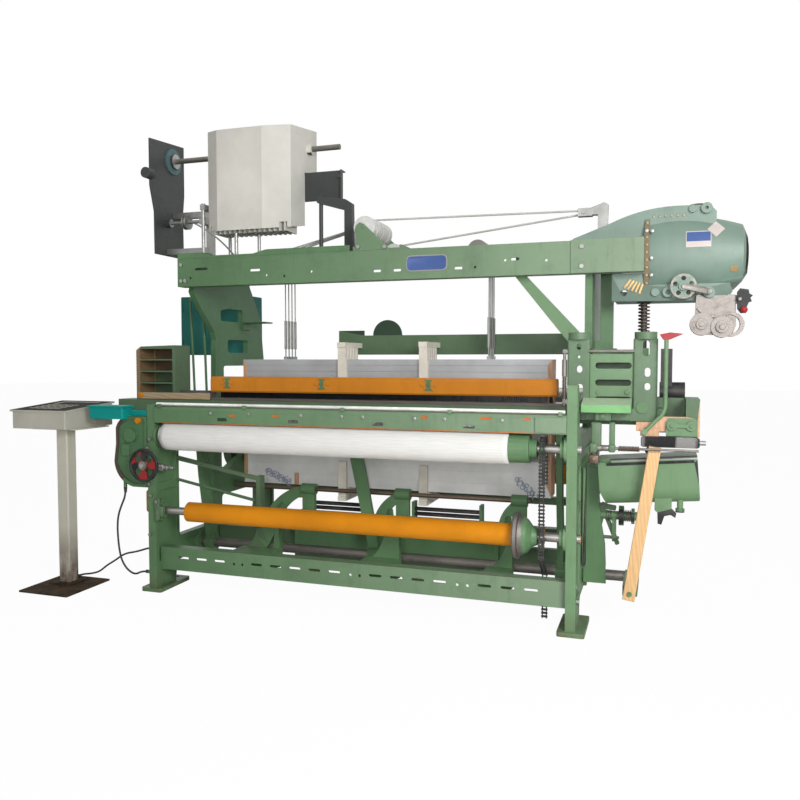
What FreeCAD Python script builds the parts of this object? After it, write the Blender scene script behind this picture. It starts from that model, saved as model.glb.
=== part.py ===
import FreeCAD, Part
import math
import os

os.makedirs("parts", exist_ok=True)
V = FreeCAD.Vector

# A wide shuttle loom with drop boxes, millimetres, +X along the loom to the dobby end, +Y from
# the weaver's side to the warp side, +Z up.  Depths below are measured from the front face line
# of the front posts; every piece is moved at the end so that the origin is the middle of the four
# anchor holes, on the floor.

# ---- driving dimensions -------------------------------------------------------------------
FRAME_IN = 1038.0        # inner faces of the two side frames
FRAME_T = 44.0           # thickness of a side frame
FRAME_OUT = FRAME_IN + FRAME_T
FRAME_TOP = 860.0        # top edge of the side frames behind the front post
POST_FRONT = -45.0
POST_BACK = 165.0
REAR_BACK = 1250.0
REAR_FRONT = REAR_BACK - (POST_BACK - POST_FRONT)
FOOT_T = 20.0
POCKET = 9.0             # depth of the cast recesses in a side frame
ANCHOR_X = 1060.0
ANCHOR_FRONT_Y = 172.0
ANCHOR_REAR_Y = 1033.0
ANCHOR_R = 9.0
ANCHOR_MID_Y = (ANCHOR_FRONT_Y + ANCHOR_REAR_Y) / 2.0

RUN = 0.06               # radial clearance of a running fit
GAP = 0.5                # clearance between separate pieces that only pass each other

BEAM_Y0, BEAM_Y1 = 270.0, 340.0       # top beam, front and back
BEAM_Z0, BEAM_Z1 = 1594.0, 1744.0
BEAM_X0, BEAM_X1 = -1100.0, 1335.0
BEAM_WALL = 9.0
ARCH_IN = FRAME_IN + 4.0
ARCH_T = 34.0
RIGHT_ARCH = 1072.0      # inner face of the right arch, which stands further out
ARCH_TOP = BEAM_Z1 + 12.0

BREAST_Z0, BREAST_Z1 = 876.0, 957.0
ROLL_Z = 807.0           # take-up roller axis
ROLL_R = 65.0
CLOTH_R = 77.0
CLOTH_X0, CLOTH_X1 = -990.0, 786.0
LOW_Z = 418.0            # cloth roller axis
LOW_R = 50.0
LOW_X0, LOW_X1 = -868.0, 806.0
JOURNAL_R = 20.0

RAIL_Z0, RAIL_Z1 = 110.0, 227.0       # slotted front rail
RAIL_Y0, RAIL_Y1 = -8.0, 52.0

CHAIN_X = 934.0
CHAIN_R = 46.0
CHAIN_PITCH = 15.875
CHAIN_W = 22.0

SLAY_PIVOT_Y, SLAY_PIVOT_Z = 380.0, 172.0
SLAY_SHAFT_R = 25.0
SLAY_Y0, SLAY_Y1 = 192.0, 320.0
SLAY_Z0, SLAY_Z1 = 905.0, 980.0
SLAY_X0, SLAY_X1 = -1440.0, 1425.0
RACE_T = 14.0
REED_Y = 290.0
REED_X0, REED_X1 = -850.0, 935.0
REED_DENTS = 100
CAP_X0, CAP_X1 = -893.0, 958.0
CAP_Z0, CAP_Z1 = 1022.0, 1106.0

FRAMES = 4               # heald frames
FRAME_Y0 = 520.0
FRAME_PITCH = 40.0
STAVE_T = 16.0
STAVE_H = 102.0
HEALD_Z0, HEALD_Z1 = 500.0, 1198.0
HEALD_X0, HEALD_X1 = -838.0, 902.0
HEALDS = 26
HANGER_X = (-567.0, 571.0)
HANGER_OFF = 6.5         # distance of a hanger from the edge of its sheave
GUIDE_X = (-224.0, 236.0)
GUIDE_RAIL_Y = 740.0
GUIDE_PLAY = 0.3         # play of a heald frame between two guide fingers

CRANK_Y, CRANK_Z, CRANK_R = 930.0, 640.0, 25.0
WARP_Y, WARP_Z = 1470.0, 500.0
WARP_CORE_R, WARP_FLANGE_R = 75.0, 255.0
WHIP_Y, WHIP_Z, WHIP_R = 1300.0, 985.0, 45.0

NOTCH_TOP, NOTCH_DEEP = 1900.0, 100.0
WING_NOTCH = NOTCH_TOP - NOTCH_DEEP   # floor of the notch in the dobby wing where its lever stands
SHEAVE_R = 52.0
SHEAVE_PIN_R = 9.0
SHEAVE_Z = 1755.0
SHEAVE_X = (HANGER_X[0] + SHEAVE_R, HANGER_X[1] - SHEAVE_R)
UPPER_R, LOWER_R = 57.0, 49.0
ROLLER_UP = (-13.0, 1862.0)
ROLLER_LOW = (120.0, 1735.0)

WHEEL_X, WHEEL_Y, WHEEL_Z, WHEEL_R = -1062.0, -104.0, 662.0, 86.0   # handwheel
WHEEL_SHAFT_R = 12.0
JOURNAL_END = FRAME_OUT + 16
BAR_X = FRAME_IN - GAP   # half length of the rails between the side frames
STICK_X, STICK_Z = 1300.0, 172.0      # picking stick: fulcrum, faces and top
STICK_Y0, STICK_Y1 = 85.0, 110.0
STICK_PIN_R = 10.0
STICK_TOP = (1397.0, 820.0)
CABLE_R = 5.0
CABLE_ENDS = ((-30.0, 96.0), (100.0, 190.0))   # glands on the left side frame, depth and height


# ---- shape helpers ------------------------------------------------------------------------
def box(x0, x1, y0, y1, z0, z1):
    return Part.makeBox(x1 - x0, y1 - y0, z1 - z0, V(x0, y0, z0))


def rod_x(x0, x1, y, z, r):
    return Part.makeCylinder(r, x1 - x0, V(x0, y, z), V(1, 0, 0))


def rod_y(x, y0, y1, z, r):
    return Part.makeCylinder(r, y1 - y0, V(x, y0, z), V(0, 1, 0))


def rod_z(x, y, z0, z1, r):
    return Part.makeCylinder(r, z1 - z0, V(x, y, z0), V(0, 0, 1))


def rod(a, b, r):
    a, b = V(*a), V(*b)
    return Part.makeCylinder(r, (b - a).Length, a, b - a)


def face(points):
    return Part.Face(Part.makePolygon([V(*p) for p in points + points[:1]]))


def plate_x(points, x0, x1):
    return face([(x0, y, z) for y, z in points]).extrude(V(x1 - x0, 0, 0))


def plate_y(points, y0, y1):
    return face([(x, y0, z) for x, z in points]).extrude(V(0, y1 - y0, 0))


def plate_z(points, z0, z1):
    return face([(x, y, z0) for x, y in points]).extrude(V(0, 0, z1 - z0))


def soften(shape, axis, radius):
    """Round the edges of a shape that run along one axis."""
    picked = []
    for edge in shape.Edges:
        if len(edge.Vertexes) != 2:
            continue
        run = edge.Vertexes[1].Point - edge.Vertexes[0].Point
        if abs(run.normalize().dot(axis)) > 0.999:
            picked.append(edge)
    return shape.makeFillet(radius, picked)


def slot_y(x, z, length, height, y0, y1):
    """A level round-ended slot through a wall that faces the weaver."""
    half = (length - height) / 2.0
    body = box(x - half, x + half, y0, y1, z - height / 2.0, z + height / 2.0)
    return body.fuse([rod_y(x - half, y0, y1, z, height / 2.0),
                      rod_y(x + half, y0, y1, z, height / 2.0)]).removeSplitter()


def slot_z(x, z, width, height, y0, y1):
    """An upright round-ended slot through a wall that faces the weaver."""
    half = (height - width) / 2.0
    body = box(x - width / 2.0, x + width / 2.0, y0, y1, z - half, z + half)
    return body.fuse([rod_y(x, y0, y1, z - half, width / 2.0),
                      rod_y(x, y0, y1, z + half, width / 2.0)]).removeSplitter()


def union(first, *others):
    return first.fuse(list(others)).removeSplitter()


def mirror_x(shape):
    return shape.mirror(V(0, 0, 0), V(1, 0, 0))


def hexagon(x, y0, y1, z, size):
    """Hexagon bolt head of the given width over corners."""
    pts = [(size / 2.0 * math.cos(math.radians(60 * i)),
            size / 2.0 * math.sin(math.radians(60 * i))) for i in range(6)]
    return plate_y([(x + u, z + w) for u, w in pts], y0, y1)


def hexagon_x(x0, x1, y, z, size):
    pts = [(size / 2.0 * math.cos(math.radians(60 * i)),
            size / 2.0 * math.sin(math.radians(60 * i))) for i in range(6)]
    return plate_x([(y + u, z + w) for u, w in pts], x0, x1)


def hexagon_z(x, y, z0, z1, size):
    pts = [(size / 2.0 * math.cos(math.radians(60 * i)),
            size / 2.0 * math.sin(math.radians(60 * i))) for i in range(6)]
    return plate_z([(x + u, y + w) for u, w in pts], z0, z1)


def save(node, *solids):
    """Write one node: its solids, moved so that the origin is amid the anchor holes."""
    shape = solids[0] if len(solids) == 1 else Part.makeCompound(list(solids))
    shape = shape.copy()
    shape.translate(V(0, -ANCHOR_MID_Y, 0))
    shape.exportStep(f"parts/{node}.step")


# ---- side frames --------------------------------------------------------------------------
# Each side frame is one casting: two feet, a front post, a rear post that carries the warp beam
# arm, a lower and an upper rail, a middle post, and round-cornered windows between them.
def side_frame(post_top):
    x0, x1 = FRAME_IN, FRAME_OUT
    outline = [(POST_FRONT, FOOT_T), (125, FOOT_T), (140, 100), (POST_BACK, 122),
               (REAR_FRONT, 122), (REAR_BACK - 185, 100), (REAR_BACK - 170, FOOT_T),
               (REAR_BACK, FOOT_T), (REAR_BACK, 380), (1400, 425), (1530, 440), (1530, 485),
               (REAR_BACK, 560), (REAR_BACK, FRAME_TOP + 60), (1130, FRAME_TOP + 60),
               (1110, FRAME_TOP), (POST_BACK, FRAME_TOP), (66, 905), (48, 960),
               (20, 968), (20, post_top), (POST_FRONT, post_top)]
    body = plate_x(outline, x0, x1)
    windows = [
        [(POST_BACK, 250), (470, 250), (505, 290), (505, 690), (470, 745), (POST_BACK, 745)],
        [(600, 290), (640, 250), (REAR_FRONT, 250), (REAR_FRONT, 400), (600, 400)],
        [(600, 520), (840, 610), (840, 745), (650, 745), (600, 695)],
        [(1010, 620), (1080, 620), (1140, 680), (1140, 745), (1010, 745)],
    ]
    for pts in windows:
        hole = soften(plate_x(pts, x0 - 5, x1 + 5), V(1, 0, 0), 20)
        body = body.cut(hole)
    # Cast recesses leave a raised rim round each post and rail, outside and inside.
    pockets = [(POST_FRONT + 26, POST_BACK - 26, 150, 520), (POST_FRONT + 26, POST_BACK - 26, 560, 730),
               (REAR_FRONT + 26, REAR_BACK - 26, 150, 360), (230, 930, 150, 222),
               (230, 820, 775, 832)]
    for ya, yb, za, zb in pockets:
        body = body.cut(soften(box(x1 - POCKET, x1 + 5, ya, yb, za, zb), V(1, 0, 0), 14))
        body = body.cut(soften(box(x0 - 5, x0 + POCKET, ya, yb, za, zb), V(1, 0, 0), 14))
    # Feet, each with one anchor hole.
    for ya, yb, hole_y in ((-60, 205, ANCHOR_FRONT_Y), (1000, 1265, ANCHOR_REAR_Y)):
        foot = soften(box(1003, 1122, ya, yb, 0, FOOT_T), V(0, 0, 1), 12)
        foot = foot.cut(rod_z(ANCHOR_X, hole_y, -1, FOOT_T + 1, ANCHOR_R))
        body = body.fuse(foot)
    # Bearing holes of the crankshaft and rocking shaft, and the open seat of the warp beam.
    body = body.fuse([rod_x(x0 - 14, x1 + 14, CRANK_Y, CRANK_Z, 56),
                      rod_x(x0 - 10, x1 + 10, SLAY_PIVOT_Y, SLAY_PIVOT_Z, 60)])
    body = body.cut(rod_x(x0 - 30, x1 + 30, CRANK_Y, CRANK_Z, CRANK_R + RUN))
    body = body.cut(rod_x(x0 - 30, x1 + 30, SLAY_PIVOT_Y, SLAY_PIVOT_Z, SLAY_SHAFT_R + RUN))
    seat = union(rod_x(x0 - 30, x1 + 30, WARP_Y, WARP_Z, 30 + RUN),
                 box(x0 - 30, x1 + 30, WARP_Y - 30 - RUN, WARP_Y + 30 + RUN, WARP_Z, WARP_Z + 60))
    body = body.cut(seat)
    # Bearing collars of the two rollers and the arm of the back rest, on the inner face.
    for z in (ROLL_Z, LOW_Z):
        collar = union(rod_x(x0 - 30, x0 + 1, 0, z, 38), rod_x(x0 - 12, x0 + 1, 0, z, 56))
        body = body.fuse(collar).cut(rod_x(x0 - 50, x1 + 5, 0, z, JOURNAL_R + RUN))
    arm = plate_x([(1150, 800), (1225, 800), (1330, 950), (1342, 985), (1330, 1022), (1270, 1022),
                   (1262, 985), (1150, 870)], x0 - 26, x0 + 1)
    body = body.fuse(arm).cut(rod_x(x0 - 30, x1 + 5, WHIP_Y, WHIP_Z, 16 + RUN))
    return body.removeSplitter()


right_frame = side_frame(1087.0)
left_frame = mirror_x(side_frame(968.0))
# Glands where the two cables enter the left side frame.
left_frame = left_frame.fuse([rod_x(-FRAME_OUT - 12, -FRAME_OUT + 12, y, z, 10) for y, z in CABLE_ENDS])
# Boss and bore of the handwheel shaft.
left_frame = left_frame.fuse(rod_y(WHEEL_X, POST_FRONT - 20, POST_FRONT + 12, WHEEL_Z, 26))
left_frame = left_frame.cut(rod_y(WHEEL_X, POST_FRONT - 25, 25, WHEEL_Z, WHEEL_SHAFT_R + RUN))
save("left_side_frame", left_frame.removeSplitter())
save("right_side_frame", right_frame)

# ---- arches and overhead beam -------------------------------------------------------------
# An arch is a plate casting bolted on the side frame; it sweeps forward to carry the top beam.
FRONT_SWEEP = [(556, 1247), (560, 1310), (543, 1356), (505, 1395), (458, 1440), (405, 1487),
               (362, 1532), (334, 1572), (BEAM_Y1 + GAP, BEAM_Z0 - 4)]


UPPER_WINDOWS = [[(612, 1424), (612, 1486), (700, 1500), (868, 1500), (868, 1424)],
                 [(690, 1238), (690, 1316), (930, 1316), (930, 1238)]]
LOWER_WINDOW = [(640, 960), (640, 1160), (1020, 1160), (1020, 960)]
REAR_SWEEP = [(1105, FRAME_TOP + GAP), (1105, 940), (1143, 1130), (1092, 1460), (957, 1650),
              (940, ARCH_TOP), (BEAM_Y1 + GAP, ARCH_TOP)]


def arch(x0, front_edge, windows, inner_pad):
    """One arch plate with its windows and two foot pads, which may reach inward to the side frame."""
    x1 = x0 + ARCH_T
    body = plate_x(REAR_SWEEP + front_edge + [(548, FRAME_TOP + GAP)], x0, x1)
    for pts in windows:
        body = body.cut(soften(plate_x(pts, x0 - 5, x1 + 5), V(1, 0, 0), 16))
    for y in (560, 1030):
        body = body.fuse(box(x0 - inner_pad, x1 + 8, y, y + 65, FRAME_TOP + GAP, FRAME_TOP + 34))
    return body.removeSplitter()


left_arch = mirror_x(arch(ARCH_IN, FRONT_SWEEP[::-1], UPPER_WINDOWS + [LOWER_WINDOW], 4))
# A small shelf stands out from the inner face of the left arch, and two slim poles from the outer.
shelf = union(box(-ARCH_IN, -880, 850, 950, 1420, 1428), box(-ARCH_IN, -ARCH_IN + 10, 850, 950, 1380, 1428))
poles = union(rod((-1238, 600, 1556), (-1213, 600, 902), 7), rod((-1152, 600, 1556), (-1132, 600, 902), 7),
              box(-1246, -ARCH_IN - 5, 592, 608, 1546, 1562), box(-1221, -ARCH_IN - 5, 592, 608, 900, 914))
save("left_arch", union(left_arch, shelf, poles))
right_arch = arch(RIGHT_ARCH, [(BEAM_Y1 + GAP, 1250), (560, 1130)], [LOWER_WINDOW], 26)
right_arch = right_arch.fuse([box(1130, 1190, 520, 575, 1200, 1744), box(RIGHT_ARCH, 1190, 520, 575, 1240, 1290),
                              box(RIGHT_ARCH, 1190, 520, 575, 1690, 1744)])
save("right_arch", right_arch.removeSplitter())

# Overhead channel: a tall web with slots toward the weaver and two flanges toward the back.
top_beam = union(box(BEAM_X0, BEAM_X1, BEAM_Y0, BEAM_Y0 + BEAM_WALL, BEAM_Z0, BEAM_Z1),
                 box(BEAM_X0, BEAM_X1, BEAM_Y0, BEAM_Y1, BEAM_Z1 - BEAM_WALL, BEAM_Z1),
                 box(BEAM_X0, BEAM_X1, BEAM_Y0, BEAM_Y1, BEAM_Z0, BEAM_Z0 + BEAM_WALL),
                 box(BEAM_X0, BEAM_X0 + 24, BEAM_Y0, BEAM_Y1, BEAM_Z0, BEAM_Z1),
                 box(1012, BEAM_X1, BEAM_Y0 - 6, BEAM_Y1, BEAM_Z0, BEAM_Z1 + 3))
for x, z, length in ((-952, 1686, 80), (-626, 1669, 62), (60, 1640, 42), (166, 1640, 42),
                     (480, 1639, 44), (753, 1671, 40)):
    top_beam = top_beam.cut(slot_y(x, z, length, 13, BEAM_Y0 - 10, BEAM_Y0 + BEAM_WALL + 1))
for x, z in ((-559, 1640), (-455, 1632), (561, 1640), (706, 1668), (-1020, 1640), (-300, 1650), (900, 1660)):
    top_beam = top_beam.cut(rod_y(x, BEAM_Y0 - 10, BEAM_Y0 + BEAM_WALL + 1, z, 6.5))
save("top_beam", top_beam)

# Blank oval plate riveted to the front of the beam.
plate = soften(box(213, 424, BEAM_Y0 - 2.5, BEAM_Y0 - GAP, 1630, 1709), V(0, 1, 0), 26)
# Gusset over the beam that carries the two centre rollers, and the diagonal brace at the right.
GUSSET_TOP = [(-58, 1850), (-50, 1874), (-32, 1886), (-12, 1877), (80, 1790)]
gusset = plate_y([(-58, BEAM_Z1 + GAP)] + GUSSET_TOP + [(128, BEAM_Z1 + GAP)], BEAM_Y0 + 2, BEAM_Y0 + 10)
gusset_back = plate_y([(-58, 1710)] + GUSSET_TOP + [(150, 1772), (168, 1710)], 560, 568)
gusset_foot = box(-70, 200, BEAM_Y0 + 2, BEAM_Y1, BEAM_Z1 + GAP, BEAM_Z1 + 8)
gusset_arms = [box(x, x + 12, BEAM_Y0 + 2, 568, BEAM_Z1 + GAP, BEAM_Z1 + 22) for x in (-70, 178)]
gusset_bar = box(-70, 190, 556, 568, BEAM_Z1 + GAP, BEAM_Z1 + 22)
roller_pins = [rod_y(ROLLER_UP[0], BEAM_Y0, 570, ROLLER_UP[1], SHEAVE_PIN_R),
               rod_y(ROLLER_LOW[0], BEAM_Y1 + 6, 570, ROLLER_LOW[1], SHEAVE_PIN_R)]
gusset = union(gusset, gusset_back, gusset_foot, gusset_bar, *gusset_arms, *roller_pins)
brace = plate_y([(745, BEAM_Z0 - 2), (800, BEAM_Z0 - 2), (RIGHT_ARCH - GAP, 1300), (RIGHT_ARCH - GAP, 1252),
                 (1010, 1262)], BEAM_Y1 + 4, BEAM_Y1 + 34)
brace = brace.fuse(box(745, 800, BEAM_Y1 + GAP, BEAM_Y1 + 12, BEAM_Z0 - 2, 1690)).removeSplitter()


# ---- front of the loom --------------------------------------------------------------------

breast = plate_x([(-52, BREAST_Z0), (-43, BREAST_Z0), (-43, 938), (-34, 948), (43, 948), (43, 905), (52, 905),
                  (52, BREAST_Z1), (-38, BREAST_Z1), (-52, 944)], -BAR_X, BAR_X)
breast = breast.fuse([box(-BAR_X, -985, -52, 52, 885, BREAST_Z1 - 9), box(905, BAR_X, -60, 52, 882, BREAST_Z1 - 9)])
ROD_Y, ROD_Z, ROD_R = -30.0, BREAST_Z1 + 13.0, 9.0
for x in (-1010, -520, 0, 520, 1010):
    breast = breast.fuse(box(x - 9, x + 9, ROD_Y - 16, ROD_Y + 16, BREAST_Z1 - 2, ROD_Z + 2))
breast = breast.cut(rod_x(-BAR_X - 1, BAR_X + 1, ROD_Y, ROD_Z, ROD_R + RUN))
for x in (-640, -250, 180, 610):
    breast = breast.cut(slot_y(x, 900, 56, 16, -60, -30))
save("breast_beam", breast.removeSplitter())
save("breast_rod", rod_x(-1030, 1030, ROD_Y, ROD_Z, ROD_R))

rail = union(box(-BAR_X, BAR_X, RAIL_Y0, RAIL_Y0 + 8, RAIL_Z0, RAIL_Z1),
             box(-BAR_X, BAR_X, RAIL_Y0, RAIL_Y1, RAIL_Z0, RAIL_Z0 + 8),
             box(-BAR_X, BAR_X, RAIL_Y0, RAIL_Y1, RAIL_Z1 - 8, RAIL_Z1),
             box(-BAR_X, -BAR_X + 10, RAIL_Y0, RAIL_Y1, RAIL_Z0, RAIL_Z1),
             box(BAR_X - 10, BAR_X, RAIL_Y0, RAIL_Y1, RAIL_Z0, RAIL_Z1))
SLOT_PITCH = 105.0
for i in range(18):
    x = -900 + SLOT_PITCH * i
    if i in (3, 9, 14):
        for dx in (-22, 26):
            rail = rail.cut(rod_y(x + dx, RAIL_Y0 - 1, RAIL_Y0 + 9, 170, 7))
    else:
        rail = rail.cut(slot_y(x, 177, 62, 12, RAIL_Y0 - 1, RAIL_Y0 + 9))
# Plain rails behind, all between the side frames: two at the back, one amid the floor space, one
# that carries the lower heald guides.
rear_low = box(-BAR_X, BAR_X, 1160, 1225, 130, 205)
rear_top = box(-BAR_X, BAR_X, 1160, 1215, 715, 790)
middle = box(-BAR_X, BAR_X, 566, 600, 138, 228)
save("cross_rails", rail, rear_low, rear_top, middle)

# ---- heald frames and their guides --------------------------------------------------------
STANCHION_X = -345.0
GUIDE_BACK = GUIDE_RAIL_Y + 42
RAIL_END = RIGHT_ARCH - GAP
upper_guide = union(box(STANCHION_X, RAIL_END, GUIDE_RAIL_Y, GUIDE_RAIL_Y + 8, 1225, 1334),
                    box(STANCHION_X, RAIL_END, GUIDE_RAIL_Y, GUIDE_BACK, 1225, 1233),
                    box(STANCHION_X, RAIL_END, GUIDE_RAIL_Y, GUIDE_BACK, 1326, 1334),
                    box(RAIL_END - 14, RAIL_END, 725, 800, 1180, 1345),
                    box(STANCHION_X, -310, GUIDE_RAIL_Y, GUIDE_BACK, 465, 1362),
                    box(STANCHION_X, -190, GUIDE_RAIL_Y, GUIDE_RAIL_Y + 8, 1334, 1362),
                    box(STANCHION_X, BAR_X, GUIDE_RAIL_Y, GUIDE_BACK, 425, 465),
                    box(-BAR_X, STANCHION_X, GUIDE_RAIL_Y, GUIDE_BACK, 425, 465))
# A half disc stands on the rail near its middle.
half_disc = rod_y(-50, GUIDE_RAIL_Y, GUIDE_RAIL_Y + 8, 1334, 86)
upper_guide = upper_guide.fuse(half_disc.cut(box(-150, 50, 700, 800, 1200, 1330))).removeSplitter()
save("heald_guide_rail", upper_guide)


def guide_comb(x, bar_z0, bar_z1, finger_z0, finger_z1):
    """Comb of fixed fingers, one either side of every heald frame, on a bar that runs back to the rail."""
    comb = box(x - 23, x + 23, FRAME_Y0 - FRAME_PITCH, GUIDE_RAIL_Y - GAP, bar_z0, bar_z1)
    for i in range(FRAMES + 1):
        y = FRAME_Y0 + FRAME_PITCH * (i - 0.5)
        half = (FRAME_PITCH - STAVE_T) / 2.0 - GUIDE_PLAY
        comb = comb.fuse(box(x - 23, x + 23, y - half, y + half, finger_z0, finger_z1))
    return comb.removeSplitter()


combs = []
for x in GUIDE_X:
    combs.append(guide_comb(x, 1262, 1290, 1098, 1275))
    combs.append(guide_comb(x, 428, 452, 440, 640))
save("heald_guides", *combs)

for index in range(FRAMES):
    y = FRAME_Y0 + FRAME_PITCH * index
    half = STAVE_T / 2.0
    parts = [box(HEALD_X0, HEALD_X1, y - half, y + half, HEALD_Z1 - STAVE_H, HEALD_Z1),
             box(HEALD_X0, HEALD_X1, y - half, y + half, HEALD_Z0, HEALD_Z0 + 180),
             box(HEALD_X0, HEALD_X0 + 20, y - half, y + half, HEALD_Z0, HEALD_Z1),
             box(HEALD_X1 - 20, HEALD_X1, y - half, y + half, HEALD_Z0, HEALD_Z1)]
    for k in range(HEALDS):
        x = HEALD_X0 + 60 + (HEALD_X1 - HEALD_X0 - 120) * k / (HEALDS - 1)
        parts.append(box(x - 1, x + 1, y - 3, y + 3, HEALD_Z0 + 170, HEALD_Z1 - STAVE_H + 10))
    heald = union(*parts)
    for z in (HEALD_Z1 - 34, HEALD_Z1 - 68, HEALD_Z0 + 60, HEALD_Z0 + 120):
        heald = heald.cut(box(HEALD_X0 + 24, HEALD_X1 - 24, y - half - 1, y - half + 1.5, z - 3, z + 3))
    # Hook, turnbuckle sleeve and cord that hang the frame from its two sheaves.
    hangers = []
    for x in (HANGER_X[0] - HANGER_OFF, HANGER_X[1] + HANGER_OFF):
        hangers.append(union(box(x - 10, x + 10, y - 5, y + 5, HEALD_Z1 + GAP, HEALD_Z1 + 16),
                             hexagon_z(x, y, HEALD_Z1 + 14, HEALD_Z1 + 60, 8),
                             hexagon_z(x, y, HEALD_Z1 + 58, HEALD_Z1 + 215, 17),
                             hexagon_z(x, y, HEALD_Z1 + 210, 1705, 7)))
    save(f"heald_frame_{index + 1}", heald.removeSplitter(), *hangers)

# Sheaves over the hangers, each a pack of grooved wheels on one pin.
PACK_Y0, PACK_Y1 = FRAME_Y0 - 18, FRAME_Y0 + FRAME_PITCH * (FRAMES - 1) + 18


def sheave_pack(x, z, radius, y0, y1, grooves):
    pack = rod_y(x, y0, y1, z, radius)
    pitch = (y1 - y0) / grooves
    for i in range(grooves):
        yc = y0 + pitch * (i + 0.5)
        ring = rod_y(x, yc - 5, yc + 5, z, radius + 5).cut(rod_y(x, yc - 6, yc + 6, z, radius - 7))
        pack = pack.cut(ring)
    return pack.cut(rod_y(x, y0 - 5, y1 + 5, z, SHEAVE_PIN_R + RUN))


save("sheave_left", sheave_pack(SHEAVE_X[0], SHEAVE_Z, SHEAVE_R, PACK_Y0, PACK_Y1, FRAMES))
save("sheave_right", sheave_pack(SHEAVE_X[1], SHEAVE_Z, SHEAVE_R, PACK_Y0, PACK_Y1, FRAMES))
save("roller_upper", sheave_pack(*ROLLER_UP, UPPER_R, BEAM_Y0 + 14, 552, 3))
save("roller_lower", sheave_pack(*ROLLER_LOW, LOWER_R, BEAM_Y1 + 12, 552, 2))


def sheave_bracket(centre_x, inner_x):
    """Cantilever arm from the back of the top beam, two cheeks and the sheave pin."""
    y0, y1 = PACK_Y0 - 12, PACK_Y1 + 12
    arm_z0, arm_z1 = SHEAVE_Z - SHEAVE_R - 28, SHEAVE_Z - SHEAVE_R - 4
    arm = box(inner_x - 9, inner_x + 9, BEAM_Y1 + GAP, y1, arm_z0, arm_z1)
    pad = box(inner_x - 34, inner_x + 34, BEAM_Y1 + GAP, BEAM_Y1 + 10, BEAM_Z0 + 20, BEAM_Z1 - 4)
    cheeks = [plate_y([(inner_x - 9, arm_z0), (inner_x + 9, arm_z0), (centre_x + 20, SHEAVE_Z - 10),
                       (centre_x + 20, SHEAVE_Z + 16), (centre_x - 20, SHEAVE_Z + 16),
                       (centre_x - 20, SHEAVE_Z - 10)], ya, ya + 8)
              for ya in (y0, y1 - 8)]
    return union(arm, pad, *cheeks, rod_y(centre_x, y0, y1, SHEAVE_Z, SHEAVE_PIN_R))


save("beam_fittings", gusset, brace, plate, sheave_bracket(SHEAVE_X[0], SHEAVE_X[0] + 4),
     sheave_bracket(SHEAVE_X[1], SHEAVE_X[1] - 4))

# Pull rods from the clevis of the dobby lever to the two rollers, and the cords on to the left
# sheaves.
ROD_A_Y, ROD_B_Y = 452.0, 475.0
PULL_R = 5.0
CLEVIS_X0, CLEVIS_X1 = 1024.0, 1092.0
lever = union(box(CLEVIS_X0, CLEVIS_X1, ROD_A_Y - 10, ROD_B_Y + 10, 1884, 1922),
              plate_y([(1078, 1890), (1078, 1920), (1146, 1944), (1166, 1934), (1162, WING_NOTCH + GAP),
                       (1118, WING_NOTCH + GAP), (1118, 1888)], ROD_A_Y - 8, ROD_B_Y + 8),
              rod_y(1052, ROD_A_Y - 16, ROD_B_Y + 16, 1903, 9))
straps = [lever]
for y_rod, z_rod, (x_roll, z_roll), r_roll in ((ROD_A_Y, 1911, ROLLER_UP, UPPER_R),
                                               (ROD_B_Y, 1895, ROLLER_LOW, LOWER_R)):
    straps.append(rod((CLEVIS_X0 - 0.9, y_rod, z_rod), (x_roll, y_rod, z_roll + r_roll + PULL_R + 0.8), PULL_R))
for y_sheave, y_roller in ((521.5, 500), (560.5, 514), (599.5, 528)):
    straps.append(rod((SHEAVE_X[0] - 12, y_sheave, SHEAVE_Z + SHEAVE_R + 3.3),
                      (ROLLER_UP[0] - 13.4, y_roller, ROLLER_UP[1] + UPPER_R + 3.1), 4))
save("pull_rods", *straps)

# ---- slay: shaft, swords, beam, race, reed, shuttle boxes ----------------------------------
shaft = rod_x(-FRAME_OUT - 20, 1330, SLAY_PIVOT_Y, SLAY_PIVOT_Z, SLAY_SHAFT_R)
swords = [shaft]
# Shoe at the end of the rocking shaft: it carries the fulcrum pin of the picking stick.
shoe = plate_z([(1268, 420), (1268, 128), (STICK_X + 32, 128), (STICK_X + 32, 420)], 150, 194)
shoe = soften(shoe, V(0, 0, 1), 12).fuse(rod_y(STICK_X, STICK_Y0 - 8, 130, STICK_Z, STICK_PIN_R))
swords.append(shoe.fuse(rod_y(STICK_X, 114, 130, STICK_Z, 24)))
for x in (-985, 957):
    swords.append(plate_x([(345, 150), (415, 150), (418, 195), (330, 560), (318, SLAY_Z0 + 4), (225, SLAY_Z0 + 4),
                           (268, 560)], x, x + 28))
    swords.append(rod_x(x - 12, x + 40, SLAY_PIVOT_Y, SLAY_PIVOT_Z, 44))
swords.append(plate_y([(-12, 150), (44, 150), (-62, 700), (-84, SLAY_Z0 + 4), (-150, SLAY_Z0 + 4), (-132, 700)],
                      SLAY_PIVOT_Y - 14, SLAY_PIVOT_Y + 14))
swords.append(rod_x(-26, 58, SLAY_PIVOT_Y, SLAY_PIVOT_Z, 44))
swords.append(box(-150, -84, 240, SLAY_PIVOT_Y + 14, SLAY_Z0 - 26, SLAY_Z0 + 4))
save("slay_swords", union(*swords))

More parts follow.
